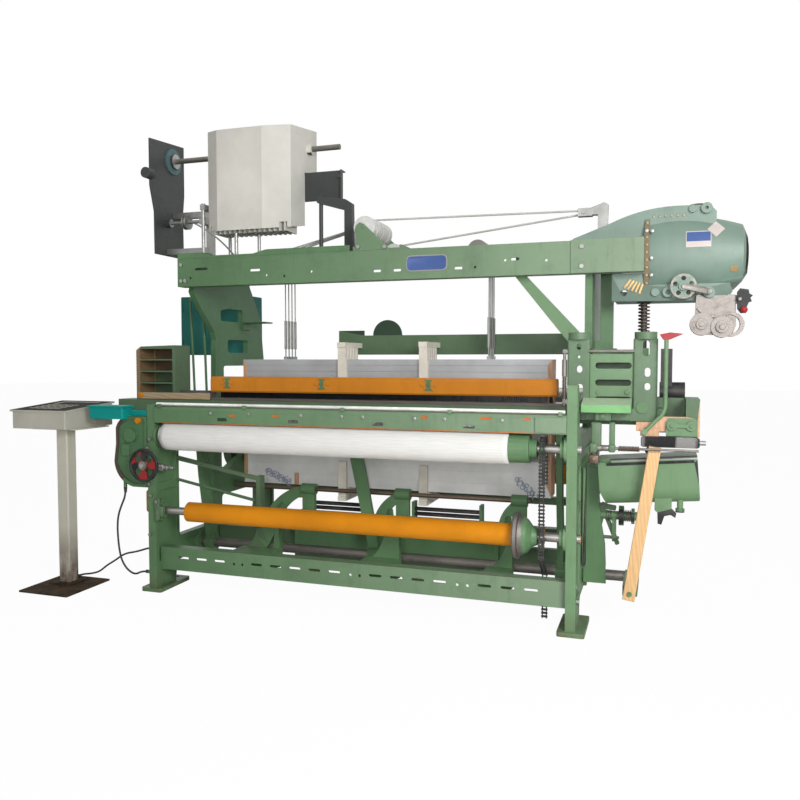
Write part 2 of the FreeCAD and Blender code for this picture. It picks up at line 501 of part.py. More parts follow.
slay = plate_x([(SLAY_Y0, SLAY_Z0 + 18), (SLAY_Y0 + 18, SLAY_Z0 + GAP), (SLAY_Y1, SLAY_Z0 + GAP),
                (SLAY_Y1, SLAY_Z1), (SLAY_Y0, SLAY_Z1)], SLAY_X0, SLAY_X1)
for x in [-780 + 260 * i for i in range(7)]:
    slay = slay.cut(slot_y(x, SLAY_Z0 + 46, 150, 22, SLAY_Y0 - 1, SLAY_Y0 + 12))
swords_gap = [box(x - GAP, x + 28 + GAP, 220, 322, SLAY_Z0 - 1, SLAY_Z0 + 4 + GAP) for x in (-985, 957)]
swords_gap.append(box(-150 - GAP, -84 + GAP, 239, 395, SLAY_Z0 - 1, SLAY_Z0 + 4 + GAP))
save("slay_beam", slay.cut(swords_gap).removeSplitter())

save("race_board", box(-850, 1008, SLAY_Y0, REED_Y - 16, SLAY_Z1 + GAP, SLAY_Z1 + RACE_T))

# The reed: a baulk below and above, and one wall pierced between its dents.
reed = box(REED_X0, REED_X1, REED_Y - 9, REED_Y + 9, SLAY_Z1 + GAP, CAP_Z0 + 20)
dent_pitch = (REED_X1 - REED_X0 - 40) / REED_DENTS
dents = [box(REED_X0 + 24 + dent_pitch * i, REED_X0 + 24 + dent_pitch * i + 9, REED_Y - 10, REED_Y + 10,
             SLAY_Z1 + 9, CAP_Z0 + 3) for i in range(REED_DENTS)]
save("reed", reed.cut(dents))

cap = plate_x([(REED_Y - 34, CAP_Z0 + 8), (REED_Y - 26, CAP_Z0), (REED_Y - 9.5, CAP_Z0), (REED_Y - 9.5, CAP_Z0 + 21),
               (REED_Y + 9.5, CAP_Z0 + 21), (REED_Y + 9.5, CAP_Z0), (REED_Y + 22, CAP_Z0),
               (REED_Y + 28, CAP_Z0 + 10), (REED_Y + 28, CAP_Z1 - 18), (REED_Y + 12, CAP_Z1),
               (REED_Y - 18, CAP_Z1), (REED_Y - 34, CAP_Z1 - 14)], CAP_X0, CAP_X1)
clips = [cap]
for x in (-790, -238, 334):
    clips.append(union(box(x - 22, x + 22, REED_Y - 38, REED_Y - 34.4, CAP_Z0 + 22, CAP_Z1 - 8),
                       box(x - 40, x + 40, REED_Y - 38, REED_Y - 34.4, CAP_Z0 + 42, CAP_Z1 - 28),
                       rod_y(x, REED_Y - 46, REED_Y - 36, CAP_Z0 + 52, 9)))
save("reed_cap", *clips)

# Left shuttle box: a light wooden front wall on the slay, and a brown stack of cells at the end.
LBOX_X0, LBOX_X1 = -1364.0, -1114.0
LBOX_Z0, LBOX_Z1 = 996.0, 1276.0
front_wall = soften(box(-1318, -862, 200, 222, SLAY_Z1 + GAP, SLAY_Z1 + 40), V(1, 0, 0), 6)
back_wall = box(-1110, CAP_X0 - 4, 300, 318, SLAY_Z1 + GAP, SLAY_Z1 + 48)
save("left_box_walls", front_wall, back_wall)
stack = plate_y([(LBOX_X0, SLAY_Z1 + GAP), (LBOX_X1, SLAY_Z1 + GAP), (LBOX_X1, LBOX_Z1), (LBOX_X0 + 30, LBOX_Z1 - 6),
                 (LBOX_X0, LBOX_Z1 - 26)], 252, 400)
CELL_H = 56.0
for i in range(4):
    z = LBOX_Z0 + 12 + 64 * i
    stack = stack.cut(soften(box(LBOX_X0 + 22, LBOX_X1 - 16, 240, 388, z, z + CELL_H), V(0, 1, 0), 7))
save("left_shuttle_boxes", stack)

# Right box guide: two pierced uprights with half-round collars, tied in front of the slay end.
GUIDE_X = 1013.0                # outer edge of the left upright
GUIDE_L_WIDE, GUIDE_R_WIDE = 100.0, 103.0
CELL_SPAN = 186.0               # clear way between the uprights
GUIDE_L = (GUIDE_X, GUIDE_X + GUIDE_L_WIDE)
GUIDE_R = (GUIDE_L[1] + CELL_SPAN, GUIDE_L[1] + CELL_SPAN + GUIDE_R_WIDE)
GUIDE_Y0, GUIDE_Y1 = 166.0, 190.0
GZ0, GZ1 = SLAY_Z0 + 20, 1318.0
COLLAR_H, COLLAR_R = 32.0, 48.0


def guide_post(x0, x1, holes):
    middle = (x0 + x1) / 2.0
    post = soften(box(x0, x1, GUIDE_Y0, GUIDE_Y1, GZ0, GZ1 - COLLAR_H + 2), V(0, 0, 1), 9)
    collar = rod_z(middle, GUIDE_Y1, GZ1 - COLLAR_H, GZ1, COLLAR_R)
    post = post.fuse(collar.cut(box(x0 - 20, x1 + 20, GUIDE_Y1, GUIDE_Y1 + 80, GZ0, GZ1 + 5)))
    for aside, z, width, height in holes:
        post = post.cut(slot_z(middle + aside, z, width, height, GUIDE_Y0 - 60, GUIDE_Y1 + 20))
    return post


tie = union(box(GUIDE_L[1] - 14, GUIDE_R[0] + 14, GUIDE_Y0, GUIDE_Y0 + 12, GZ0, SLAY_Z1),
            box(GUIDE_L[0] + 10, GUIDE_R[1] - 10, GUIDE_Y0 + 4, SLAY_Y0 - GAP, GZ0, SLAY_Z1 - 6),
            rod_x(GUIDE_L[1] - 6, GUIDE_R[0] + 6, GUIDE_Y0 + 3, 1234, 7))
# A rod with a sleeve stands beside the left upright.
side_rod = union(rod_z(GUIDE_L[0] - 13, 178, SLAY_Z1 + 8, 1244, 7), rod_z(GUIDE_L[0] - 13, 178, 1120, 1196, 11.5),
                 box(GUIDE_L[0] - 21, GUIDE_L[0] + 4, 170, 188, 1226, 1242),
                 box(GUIDE_L[0] - 21, GUIDE_L[0] + 4, 170, 188, 1000, 1016))
box_guide = union(guide_post(*GUIDE_L, [(1, 1255, 20, 28), (1, 1209, 13, 14), (4, 1154, 26, 32), (7, 1057, 26, 60)]),
                  guide_post(*GUIDE_R, [(2.5, 1246, 28, 70), (9.5, 1141, 24, 40), (9.5, 1078, 24, 32)]),
                  rod_y(GUIDE_R[0] + 41, GUIDE_Y0 - 6, GUIDE_Y0 + 4, 985, 26), tie, side_rod)

# The drop boxes: a stack of three shuttle cells, open at both ends in line with the race, that
# rides up and down between and behind the uprights.
CELLS, CELL_PITCH, CELL_TALL = 3, 76.0, 60.0
CELL_Z0 = SLAY_Z1 + RACE_T
CELL_Y0, CELL_Y1 = 206.0, 286.0
DBOX_X0, DBOX_X1 = GUIDE_L[1] + GUIDE_PLAY, GUIDE_R[0] - GUIDE_PLAY
DBOX_TOP = CELL_Z0 + CELL_PITCH * CELLS
DBOX_EAR = 5.0           # reach of the box behind the uprights
dbox = union(box(DBOX_X0, DBOX_X1, GUIDE_Y1 - 10, CELL_Y0, SLAY_Z1 + GAP, DBOX_TOP),
             box(DBOX_X0 - DBOX_EAR, DBOX_X1 + DBOX_EAR, GUIDE_Y1 + GUIDE_PLAY, CELL_Y1 + 10, SLAY_Z1 + GAP, DBOX_TOP))
for i in range(CELLS):
    z = CELL_Z0 + CELL_PITCH * i
    dbox = dbox.cut(box(DBOX_X0 - 20, DBOX_X1 + 20, CELL_Y0, CELL_Y1, z, z + CELL_TALL))
    dbox = dbox.cut(slot_y(DBOX_X1 - 85, z + CELL_TALL / 2.0 - 6, 156, 27, GUIDE_Y1 - 20, CELL_Y0 + 4))
dbox = dbox.fuse([rod_y(x, GUIDE_Y1 - 18, GUIDE_Y1 - 8, 1052, 9) for x in (1149, 1274)])
save("drop_boxes", dbox.removeSplitter())
cover = plate_x([(60, 966), (60, 1000), (GUIDE_Y0 - GAP, 1026), (GUIDE_Y0 - GAP, 966)], GUIDE_L[1] - 27,
                GUIDE_R[0] - 3)
cover = union(cover, box(1146, 1212, 92, GUIDE_Y0 - GAP, 930, 968), box(1168, 1188, 82, 94, 938, 958),
              box(GUIDE_L[1] - 10, GUIDE_R[0] - 10, 140, GUIDE_Y0 - GAP, 930, 970))
save("right_box_guide", box_guide, cover)


# ---- take-up roller, cloth, cloth roller and chain ----------------------------------------
SPROCKET_R = CHAIN_R - 6.0 - 0.5
SPROCKET = (CHAIN_X - 6.0, CHAIN_X + 6.0)
take_up = union(rod_x(-1004, 876, 0, ROLL_Z, ROLL_R), rod_x(876, 908, 0, ROLL_Z, 40),
                rod_x(SPROCKET[0], SPROCKET[1], 0, ROLL_Z, SPROCKET_R),
                rod_x(-JOURNAL_END, JOURNAL_END, 0, ROLL_Z, JOURNAL_R))
save("take_up_roller", take_up)
cloth = rod_x(CLOTH_X0, CLOTH_X1, 0, ROLL_Z, CLOTH_R)
cloth = cloth.makeFillet(9, [e for e in cloth.Edges if len(e.Vertexes) == 1])
save("cloth", cloth.cut(rod_x(CLOTH_X0 - 1, CLOTH_X1 + 1, 0, ROLL_Z, ROLL_R)))
low = union(rod_x(LOW_X0, LOW_X1, 0, LOW_Z, LOW_R),
            rod_x(-JOURNAL_END, JOURNAL_END, 0, LOW_Z, JOURNAL_R),
            rod_x(SPROCKET[0], SPROCKET[1], 0, LOW_Z, SPROCKET_R))
save("cloth_roller", low)
FLANGE_R = 104.0
profile = [(LOW_X1, JOURNAL_R), (LOW_X1, 70), (LOW_X1 + 3, FLANGE_R - 6), (LOW_X1 + 10, FLANGE_R),
           (LOW_X1 + 24, FLANGE_R), (LOW_X1 + 28, FLANGE_R - 12), (LOW_X1 + 62, FLANGE_R - 30),
           (LOW_X1 + 84, 46), (LOW_X1 + 108, 38), (LOW_X1 + 108, JOURNAL_R)]
disc = Part.Face(Part.makePolygon([V(x, 0, LOW_Z + r) for x, r in profile + profile[:1]]))
save("roller_flange", disc.revolve(V(0, 0, LOW_Z), V(1, 0, 0), 360))

# The chain hangs over the wheel of the take-up roller at the dobby end; its long front strand
# bends back under the cloth roller and its spare end hangs behind the front rail.
CHAIN_BAND = 12.0
CHAIN_RUN = [(-CHAIN_R, ROLL_Z), (-CHAIN_R, 330.0), (72.0, 240.0), (72.0, 32.0)]
CHAIN_REAR_Z = 640.0


def chain_strip(a, b, x0, x1):
    """One straight run of chain between two points in depth and height."""
    (ya, za), (yb, zb) = a, b
    length = math.hypot(yb - ya, zb - za)
    across_y, across_z = (zb - za) / length * CHAIN_BAND / 2.0, -(yb - ya) / length * CHAIN_BAND / 2.0
    return plate_x([(ya - across_y, za - across_z), (yb - across_y, zb - across_z),
                    (yb + across_y, zb + across_z), (ya + across_y, za + across_z)], x0, x1)


def chain_band(x0, x1):
    top = rod_x(x0, x1, 0, ROLL_Z, CHAIN_R + CHAIN_BAND / 2)
    top = top.cut([rod_x(x0 - 1, x1 + 1, 0, ROLL_Z, CHAIN_R - CHAIN_BAND / 2),
                   box(x0 - 1, x1 + 1, -90, 90, ROLL_Z - 90, ROLL_Z)])
    rear = box(x0, x1, CHAIN_R - CHAIN_BAND / 2, CHAIN_R + CHAIN_BAND / 2, CHAIN_REAR_Z, ROLL_Z)
    runs = [chain_strip(a, b, x0, x1) for a, b in zip(CHAIN_RUN, CHAIN_RUN[1:])]
    bends = [rod_x(x0, x1, y, z, CHAIN_BAND / 2 + 0.4) for y, z in CHAIN_RUN[1:3]]
    return top.fuse([rear] + runs + bends)


pin_places = []
for (ya, za), (yb, zb) in list(zip(CHAIN_RUN, CHAIN_RUN[1:])) + [((CHAIN_R, ROLL_Z), (CHAIN_R, CHAIN_REAR_Z))]:
    count = int(math.hypot(yb - ya, zb - za) / CHAIN_PITCH)
    for i in range(count):
        t = (i + 0.5) / count
        pin_places.append((ya + (yb - ya) * t, za + (zb - za) * t))
for i in range(1, 9):
    a = math.radians(20 * i)
    pin_places.append((CHAIN_R * math.cos(a), ROLL_Z + CHAIN_R * math.sin(a)))
pins = [box(CHAIN_X - CHAIN_W / 2 - 3, CHAIN_X + CHAIN_W / 2 + 3, y - 4, y + 4, z - 4, z + 4) for y, z in pin_places]
save("take_up_chain", union(chain_band(CHAIN_X - CHAIN_W / 2, CHAIN_X - CHAIN_W / 2 + 4),
                            chain_band(CHAIN_X + CHAIN_W / 2 - 4, CHAIN_X + CHAIN_W / 2), *pins))

# ---- left end: handwheel, guard, end tray -------------------------------------------------
rim = Part.makeTorus(WHEEL_R - 8, 8, V(WHEEL_X, WHEEL_Y, WHEEL_Z), V(0, 1, 0))
web = rod_y(WHEEL_X, WHEEL_Y - 4, WHEEL_Y + 4, WHEEL_Z, WHEEL_R - 8)
for i in range(4):
    a = math.radians(45 + 90 * i)
    web = web.cut(rod_y(WHEEL_X + 46 * math.cos(a), WHEEL_Y - 9, WHEEL_Y + 9, WHEEL_Z + 46 * math.sin(a), 20))
web = web.fuse([rod_y(WHEEL_X, WHEEL_Y - 14, WHEEL_Y + 30, WHEEL_Z, 22)])
web = web.fuse(rim).cut(rod_y(WHEEL_X, WHEEL_Y - 20, WHEEL_Y + 40, WHEEL_Z, WHEEL_SHAFT_R)).removeSplitter()
save("handwheel", web)
save("handwheel_shaft", rod_y(WHEEL_X, WHEEL_Y - 22, 20, WHEEL_Z, WHEEL_SHAFT_R))
GUARD_X0, GUARD_Y0, GUARD_Y1 = -1281.0, -52.0, 44.0
GUARD_GLAND_X, GUARD_GLAND_Y, GUARD_GLAND_Z = -1232.0, -30.0, 532.0


def guard_face(y, inset):
    """Comma-shaped outline of the guard: a round belly below, a long curved shoulder above."""
    left, low, right = GUARD_X0 + inset, 540.0 + inset, -FRAME_OUT - GAP - inset
    edges = [Part.Arc(V(-1165, y, low), V(left + 34, y, low + 46), V(left, y, 672)).toShape(),
             Part.Arc(V(left + 12, y, 842), V(left + 38, y, 884 - inset), V(-1185, y, 905 - inset)).toShape()]
    run = [(left, 672), (left + 12, 760), (left + 12, 842)]
    tail = [(-1185, 905 - inset), (right, 905 - inset), (right, low), (-1165, low)]
    for (xa, za), (xb, zb) in list(zip(run, run[1:])) + list(zip(tail, tail[1:])):
        edges.append(Part.LineSegment(V(xa, y, za), V(xb, y, zb)).toShape())
    return Part.Face(Part.Wire(Part.__sortEdges__(edges)))


GUARD_RIM = 15.0
guard = guard_face(GUARD_Y0, 0).extrude(V(0, GUARD_Y1 - GUARD_Y0, 0))
guard = guard.cut(guard_face(GUARD_Y0 - 1, GUARD_RIM).extrude(V(0, 9, 0)))
guard = guard.fuse([rod_z(GUARD_GLAND_X, GUARD_GLAND_Y, GUARD_GLAND_Z, 600, 9),
                    rod_y(-1180, GUARD_Y0 - 8, GUARD_Y0 + 12, 806, 36), rod_y(-1128, GUARD_Y0 - 12, GUARD_Y0 + 12, 884, 15),
                    box(-1232, -1188, GUARD_Y0 - 5, GUARD_Y0 + 12, 700, 760)])
guard = guard.cut([rod_x(-JOURNAL_END - 4, -FRAME_OUT, 0, ROLL_Z, JOURNAL_R + 4),
                   rod_y(WHEEL_X, GUARD_Y0 - 20, POST_FRONT + 20, WHEEL_Z, 30)]).removeSplitter()
save("belt_guard", guard)
tray = soften(box(-1396, -1190, -100, -12, 892, 952), V(0, 0, 1), 8)
tray = tray.cut(box(-1250, -1180, GUARD_Y0 - GAP, 0, 880, 905 + GAP))
tray = tray.fuse([box(-1402, -1184, -106, -6, 951, 960),
                  box(-1192, -FRAME_OUT - GAP, -40, -12, 907, 936)]).removeSplitter()
save("end_tray", tray)

# ---- crankshaft, warp beam and back rest --------------------------------------------------
crank = rod_x(-1160, 1128, CRANK_Y, CRANK_Z, CRANK_R)
for x, width, radius in ((-1012, 26, 92), (986, 26, 92), (-1156, 52, 120)):
    crank = crank.fuse(rod_x(x, x + width, CRANK_Y, CRANK_Z, radius))
save("crankshaft", crank.removeSplitter())


warp = union(rod_x(-1000, 1000, WARP_Y, WARP_Z, WARP_CORE_R), rod_x(-1098, 1098, WARP_Y, WARP_Z, 30))
for x in (-938, 924):
    plate = rod_x(x, x + 14, WARP_Y, WARP_Z, WARP_FLANGE_R)
    for i in range(6):
        a = math.radians(60 * i)
        plate = plate.cut(rod_x(x - 1, x + 15, WARP_Y + 165 * math.cos(a), WARP_Z + 165 * math.sin(a), 42))
    warp = warp.fuse(plate)
save("warp_beam", warp.removeSplitter())
whip = union(rod_x(-1000, 1000, WHIP_Y, WHIP_Z, WHIP_R), rod_x(-1036, 1036, WHIP_Y, WHIP_Z, 16))
save("whip_roller", whip)


# ---- spring boxes under the heald frames --------------------------------------------------
housings, returns = [], []
for xa, xb in ((-517, -5), (103, 635)):
    shell = soften(box(xa, xb, 500, 565.5, 58, 352), V(0, 1, 0), 12)
    shell = shell.cut(box(xa + 24, xb - 24, 499, 504, 84, 326))
    shell = shell.fuse([box(x, x + 14, 504, 562, 350, 442) for x in (xa + 66, xb - 100)])
    shell = shell.fuse([box(x, x + 70, 500, 565.5, 0, 60) for x in (xa + 60, xb - 130)])
    housings.append(shell.removeSplitter())
    for y in (515, 533, 551):
        for z in (376, 402):
            returns.append(rod_x(xa + 80 + GAP, xb - 100 - GAP, y, z, 7.5))

# A cross shaft runs under the front of the heald frames; three bowed brackets carry it from the
# back of the front rail.
SHAFT2_Y, SHAFT2_Z, SHAFT2_R = 450.0, 490.0, 11.0
returns.append(rod_x(-850, 806, SHAFT2_Y, SHAFT2_Z, SHAFT2_R))
HEAD_Y = (SHAFT2_Y - 14, SHAFT2_Y + 14)
LEG_Y = (150.0, 190.0)


def bowed_bracket(x, reach, link_x, leg_x, leg_w):
    """A head on the shaft with one upright and one bowed limb, a link, and a bowed leg on the rail."""
    bow = Part.Arc(V(x, HEAD_Y[0], 514), V(x - 0.62 * reach, HEAD_Y[0], 468), V(x - reach, HEAD_Y[0], 366)).toShape()
    under = Part.Arc(V(x - 0.72 * reach, HEAD_Y[0], 340), V(x - 0.45 * reach, HEAD_Y[0], 424),
                     V(x, HEAD_Y[0], 462)).toShape()
    ends = [Part.LineSegment(V(x - reach, HEAD_Y[0], 366), V(x - 0.72 * reach, HEAD_Y[0], 340)).toShape(),
            Part.LineSegment(V(x, HEAD_Y[0], 462), V(x, HEAD_Y[0], 514)).toShape()]
    limb = Part.Face(Part.Wire(Part.__sortEdges__([bow, under] + ends))).extrude(V(0, HEAD_Y[1] - HEAD_Y[0], 0))
    upright = box(x - 72, x, HEAD_Y[0], HEAD_Y[1], 336, 500)
    side = Part.Arc(V(leg_x, LEG_Y[0], 352), V(leg_x - 30, LEG_Y[0], 262), V(leg_x - 136, LEG_Y[0], 190)).toShape()
    run = [(leg_x - 136, 190), (leg_x - 136, 128), (leg_x + leg_w, 128), (leg_x + leg_w, 352), (leg_x, 352)]
    edges = [side] + [Part.LineSegment(V(xa, LEG_Y[0], za), V(xb, LEG_Y[0], zb)).toShape()
                      for (xa, za), (xb, zb) in zip(run, run[1:])]
    leg = Part.Face(Part.Wire(Part.__sortEdges__(edges))).extrude(V(0, LEG_Y[1] - LEG_Y[0], 0))
    foot = box(leg_x - 90, leg_x + leg_w, RAIL_Y1 + GAP, LEG_Y[0] + 5, 132, RAIL_Z1 - 1)
    link = rod((link_x, HEAD_Y[0] + 8, 400), (leg_x + leg_w / 2.0, LEG_Y[0] + 20, 336), 15)
    boss = rod_x(x - 76, x + 4, SHAFT2_Y, SHAFT2_Z, 30)
    body = union(limb, upright, leg, foot, link, boss)
    return body.cut(rod_x(-BAR_X, BAR_X, SHAFT2_Y, SHAFT2_Z, SHAFT2_R + GAP))


brackets = [bowed_bracket(-366, 280, -560, -556, 122), bowed_bracket(175, 190, 70, 138, 78),
            bowed_bracket(790, 140, 700, 742, 30)]
# The first leg has a window between two bowed bars, and an upright that two levers from the left
# side frame end on.
brackets[0] = brackets[0].cut(plate_y([(-462, 300), (-470, 214), (-530, 196), (-492, 246)], 140, 200))
brackets[0] = union(brackets[0], box(-560, -536, 142, 190, 330, 596), rod((-1035.5, 151, 556), (-548, 170, 458), 8),
                    plate_y([(-BAR_X, 660), (-930, 642), (-548, 572), (-548, 592), (-930, 664), (-BAR_X, 684)],
                            142, 158))
save("spring_boxes", *housings, *brackets)
save("return_levers", *returns)

# ---- dobby at the right end of the top beam -----------------------------------------------
DOBBY_X0, DOBBY_X1 = BEAM_X1 + GAP + 14.0, 1752.0   # seam and far end of the barrel cover
DOBBY_BACK = 840.0
BASE_Y0, BASE_Y1 = 346.0, 380.0
DOBBY_BULGE = 320.0                   # foremost depth of the barrel cover
DISC_X, DISC_Z = 1505.0, 1524.0
COLUMN_X, COLUMN_Y, COLUMN_R = 1336.0, 420.0, 14.0


def barrel_wire(x, z0, z1, grow):
    """Cross-section of the barrel cover: bulging front, rounded top, flat back and bottom."""
    front, back = DOBBY_BULGE - grow, DOBBY_BACK + grow
    zl, zh = z0 - grow, z1 + grow
    zm = (zl + zh) / 2.0
    edges = [Part.Arc(V(x, front + 36, zl + 24), V(x, front, zm), V(x, front + 36, zh - 34)).toShape(),
             Part.Arc(V(x, front + 36, zh - 34), V(x, front + 60, zh - 9), V(x, front + 96, zh)).toShape(),
             Part.LineSegment(V(x, front + 96, zh), V(x, back, zh)).toShape(),
             Part.LineSegment(V(x, back, zh), V(x, back, zl)).toShape(),
             Part.LineSegment(V(x, back, zl), V(x, front + 70, zl)).toShape(),
             Part.Arc(V(x, front + 70, zl), V(x, front + 48, zl + 7), V(x, front + 36, zl + 24)).toShape()]
    return Part.Wire(edges)


barrel = Part.makeLoft([barrel_wire(DOBBY_X0, 1528, 1848, 0), barrel_wire(1560, 1522, 1840, 6),
                        barrel_wire(DOBBY_X1, 1542, 1806, -4)], True, False)
end_cap = Part.makeLoft([barrel_wire(DOBBY_X1, 1542, 1806, -4), barrel_wire(DOBBY_X1 + 22, 1556, 1780, -26)],
                        True, True)
seam = Part.Face(barrel_wire(DOBBY_X0 - 14, 1528, 1848, 12)).extrude(V(22, 0, 0))
wing_edges = [Part.Arc(V(1500, 0, 1890), V(1330, 0, 1876), V(1187, 0, 1829)).toShape()]
run = [(1187, 1829), (1012, 1764), (1012, ARCH_TOP + GAP), (1400, ARCH_TOP + GAP), (1400, 1800), (1640, 1800),
       (1640, 1858), (1612, 1888), (1500, 1890)]
for (xa, za), (xb, zb) in zip(run, run[1:]):
    wing_edges.append(Part.LineSegment(V(xa, 0, za), V(xb, 0, zb)).toShape())
wing = Part.Face(Part.Wire(Part.__sortEdges__(wing_edges))).extrude(V(0, 420, 0))
wing.translate(V(0, 352, 0))
wing = wing.cut(box(1010, 1180, 440, 490, WING_NOTCH, NOTCH_TOP))
lobe = rod_y(1598, 336, 380, 1872, 24)
lobe_small = rod_y(1540, 340, 380, 1872, 17)
base = plate_y([(1192, 1594), (1192, 1466), (1545, 1462), (1700, 1484), (1712, 1500), (1700, 1538), (1340, 1538),
                (1340, 1594)], BASE_Y0, BASE_Y1)
base = soften(base, V(0, 1, 0), 10)
base = base.fuse([rod_y(1385, BASE_Y0 - 12, BASE_Y0 + 5, 1503, 18), rod_y(1439, BASE_Y0 - 18, BASE_Y0 + 5, 1502, 23),
                  rod_y(1613, BASE_Y0 - 22, BASE_Y0 + 5, 1496, 25),
                  box(1192, 1700, BASE_Y1 - 5, DOBBY_BACK - 20, 1484, 1512),
                  box(1192, 1230, BASE_Y1 - 5, 575, 1500, ARCH_TOP + GAP)])
base = base.cut(rod_y(1246, BASE_Y0 - 5, BASE_Y1 + 5, 1505, 15))
base = base.cut(rod_y(1439, BASE_Y0 - 20, BASE_Y0 - 8, 1502, 11))
base = base.cut(rod_y(DISC_X, BASE_Y0 - 5, BASE_Y1 + 5, DISC_Z, 12 + RUN))
dobby = union(barrel, end_cap, seam, wing, lobe, lobe_small).cut(base.fuse(box(1185, 1710, 380, 900, 1440, 1516)))
dobby = dobby.cut(rod_y(DISC_X, 300, 400, DISC_Z, 14)).cut(rod_y(1598, 330, 352, 1872, 7 + RUN))
dobby = dobby.cut(rod_z(COLUMN_X, COLUMN_Y, 1440, 1560, COLUMN_R + 20))
save("dobby_housing", dobby, base.removeSplitter())

# The ratchet disc of the dobby on its own short shaft, in front of the barrel.
index_disc = rod_y(DISC_X, 296, 308, DISC_Z, 56)
for i in range(5):
    a = math.radians(18 + 72 * i)
    index_disc = index_disc.cut(rod_y(DISC_X + 36 * math.cos(a), 290, 312, DISC_Z + 36 * math.sin(a), 10))
index_disc = index_disc.fuse([rod_y(DISC_X, 286, 312, DISC_Z, 20), rod_y(DISC_X, 300, BASE_Y1, DISC_Z, 12)])
save("dobby_disc", index_disc.removeSplitter())

gear_y0, gear_y1 = 318.0, BASE_Y0 - GAP
gearbox = plate_y([(1560, 1494), (1556, 1400), (1545, 1372), (1560, 1330), (1600, 1308), (1640, 1306), (1668, 1292),
                   (1712, 1306), (1726, 1350), (1722, 1480), (1700, 1482), (1640, 1462), (1600, 1470)],
                  gear_y0, gear_y1)
gearbox = soften(gearbox, V(0, 1, 0), 9)
gearbox = gearbox.fuse([rod_y(1584, gear_y0 - 16, gear_y1, 1354, 50), rod_y(1668, gear_y0 - 22, gear_y1, 1341, 47),
                        rod_y(1584, gear_y0 - 24, gear_y1, 1354, 24), rod_y(1668, gear_y0 - 34, gear_y1, 1341, 26),
                        rod_y(1584, gear_y0 - 28, gear_y1, 1354, 12), rod_y(1668, gear_y0 - 40, gear_y1, 1341, 12)])
crescent = rod_y(1706, gear_y0 - 6, gear_y1, 1352, 54).cut(rod_y(1700, gear_y0 - 8, gear_y1 + 2, 1352, 42))
gearbox = gearbox.fuse([crescent, box(1572, 1716, BASE_Y0 - 4, 420, 1400, 1483.5)])
gearbox = gearbox.fuse(plate_y([(1572, 1430), (1600, 1396), (1668, 1388), (1668, 1380), (1596, 1386), (1562, 1424)],
                               gear_y0 - 10, gear_y0 + 2))
QUAD_X, QUAD_Z, QUAD_PIN_R = 1738.0, 1462.0, 7.0
gearbox = gearbox.fuse([plate_y([(1690, 1488), (1752, 1478), (1752, 1446), (1690, 1440)], 341, gear_y1),
                        rod_y(QUAD_X, 292, gear_y1, QUAD_Z, QUAD_PIN_R)])
gearbox = gearbox.cut(base).removeSplitter()
save("dobby_gearbox", gearbox)

# Hand lever of the dobby: a toothed black quadrant with a knob, turning on a pin of the gearbox.
quad = plate_y([(QUAD_X - 10, QUAD_Z - 44), (QUAD_X + 4, QUAD_Z - 62), (QUAD_X + 26, QUAD_Z - 62),
                (QUAD_X + 28, QUAD_Z - 36), (QUAD_X + 36, QUAD_Z - 16), (QUAD_X + 48, QUAD_Z - 12),
                (QUAD_X + 42, QUAD_Z + 4), (QUAD_X + 52, QUAD_Z + 14), (QUAD_X + 38, QUAD_Z + 22),
                (QUAD_X + 34, QUAD_Z + 40), (QUAD_X, QUAD_Z + 46), (QUAD_X - 12, QUAD_Z + 30)], 298, 310)
quad = quad.fuse([rod_y(QUAD_X, 294, 341 - GAP, QUAD_Z, 12)])
quad = quad.cut(rod_y(QUAD_X, 290, 350, QUAD_Z, QUAD_PIN_R + RUN)).removeSplitter()
knob = Part.makeSphere(15, V(QUAD_X + 16, 284, QUAD_Z - 48)).cut(box(1700, 1800, 297.7, 320, 1380, 1450))
save("dobby_hand_lever", quad, knob)

# Drive column of the dobby with its sprung sleeve, held by an arm of the right arch.
SPRING_R, SPRING_WIRE_R, SPRING_TURNS = 24.0, 3.2, 8
SPRING_Z0, SPRING_Z1 = 1330.0, 1458.0


def biarc(p0, t0, p1, t1):
    """Two arcs that join two points with given tangents."""
    v = p1 - p0
    t = t0 + t1
    k = 2 * (1 - t0.dot(t1))
    d = (-v.dot(t) + math.sqrt(v.dot(t) ** 2 + k * v.dot(v))) / k
    middle = (p0 + p1 + (t0 - t1) * d) * 0.5
    return [half_arc(p0, t0, middle, 1), half_arc(p1, t1 * -1, middle, -1)]


def half_arc(start, tangent, end, way):
    chord = end - start
    along = chord * (1.0 / chord.Length)
    side = tangent - along * tangent.dot(along)
    angle = tangent.getAngle(chord)
    top = start + chord * 0.5 + side * (1.0 / side.Length) * (chord.Length / 2.0 * math.tan(angle / 2.0))
    ends = (start, end) if way > 0 else (end, start)
    return Part.Arc(ends[0], top, ends[1]).toShape()


def coil(x, y, z0, z1, radius, turns, wire_r):
    """One unbroken round wire wound up a steady pitch, on quarter-turn biarcs."""
    pitch = (z1 - z0) / turns

    def place(q):
        a = math.pi / 2 * q
        return V(x + radius * math.cos(a), y + radius * math.sin(a), z0 + pitch * q / 4.0)

    def heading(q):
        a = math.pi / 2 * q
        t = V(-radius * math.sin(a), radius * math.cos(a), pitch / (2 * math.pi))
        return t * (1.0 / t.Length)

    edges = []
    for q in range(4 * turns):
        edges += biarc(place(q), heading(q), place(q + 1), heading(q + 1))
    path = Part.Wire(edges)
    ring = Part.Wire([Part.Circle(place(0), heading(0), wire_r).toShape()])
    print("coil least gap to itself", round(pitch - 2 * wire_r, 2))
    return path.makePipeShell([ring], True, False)


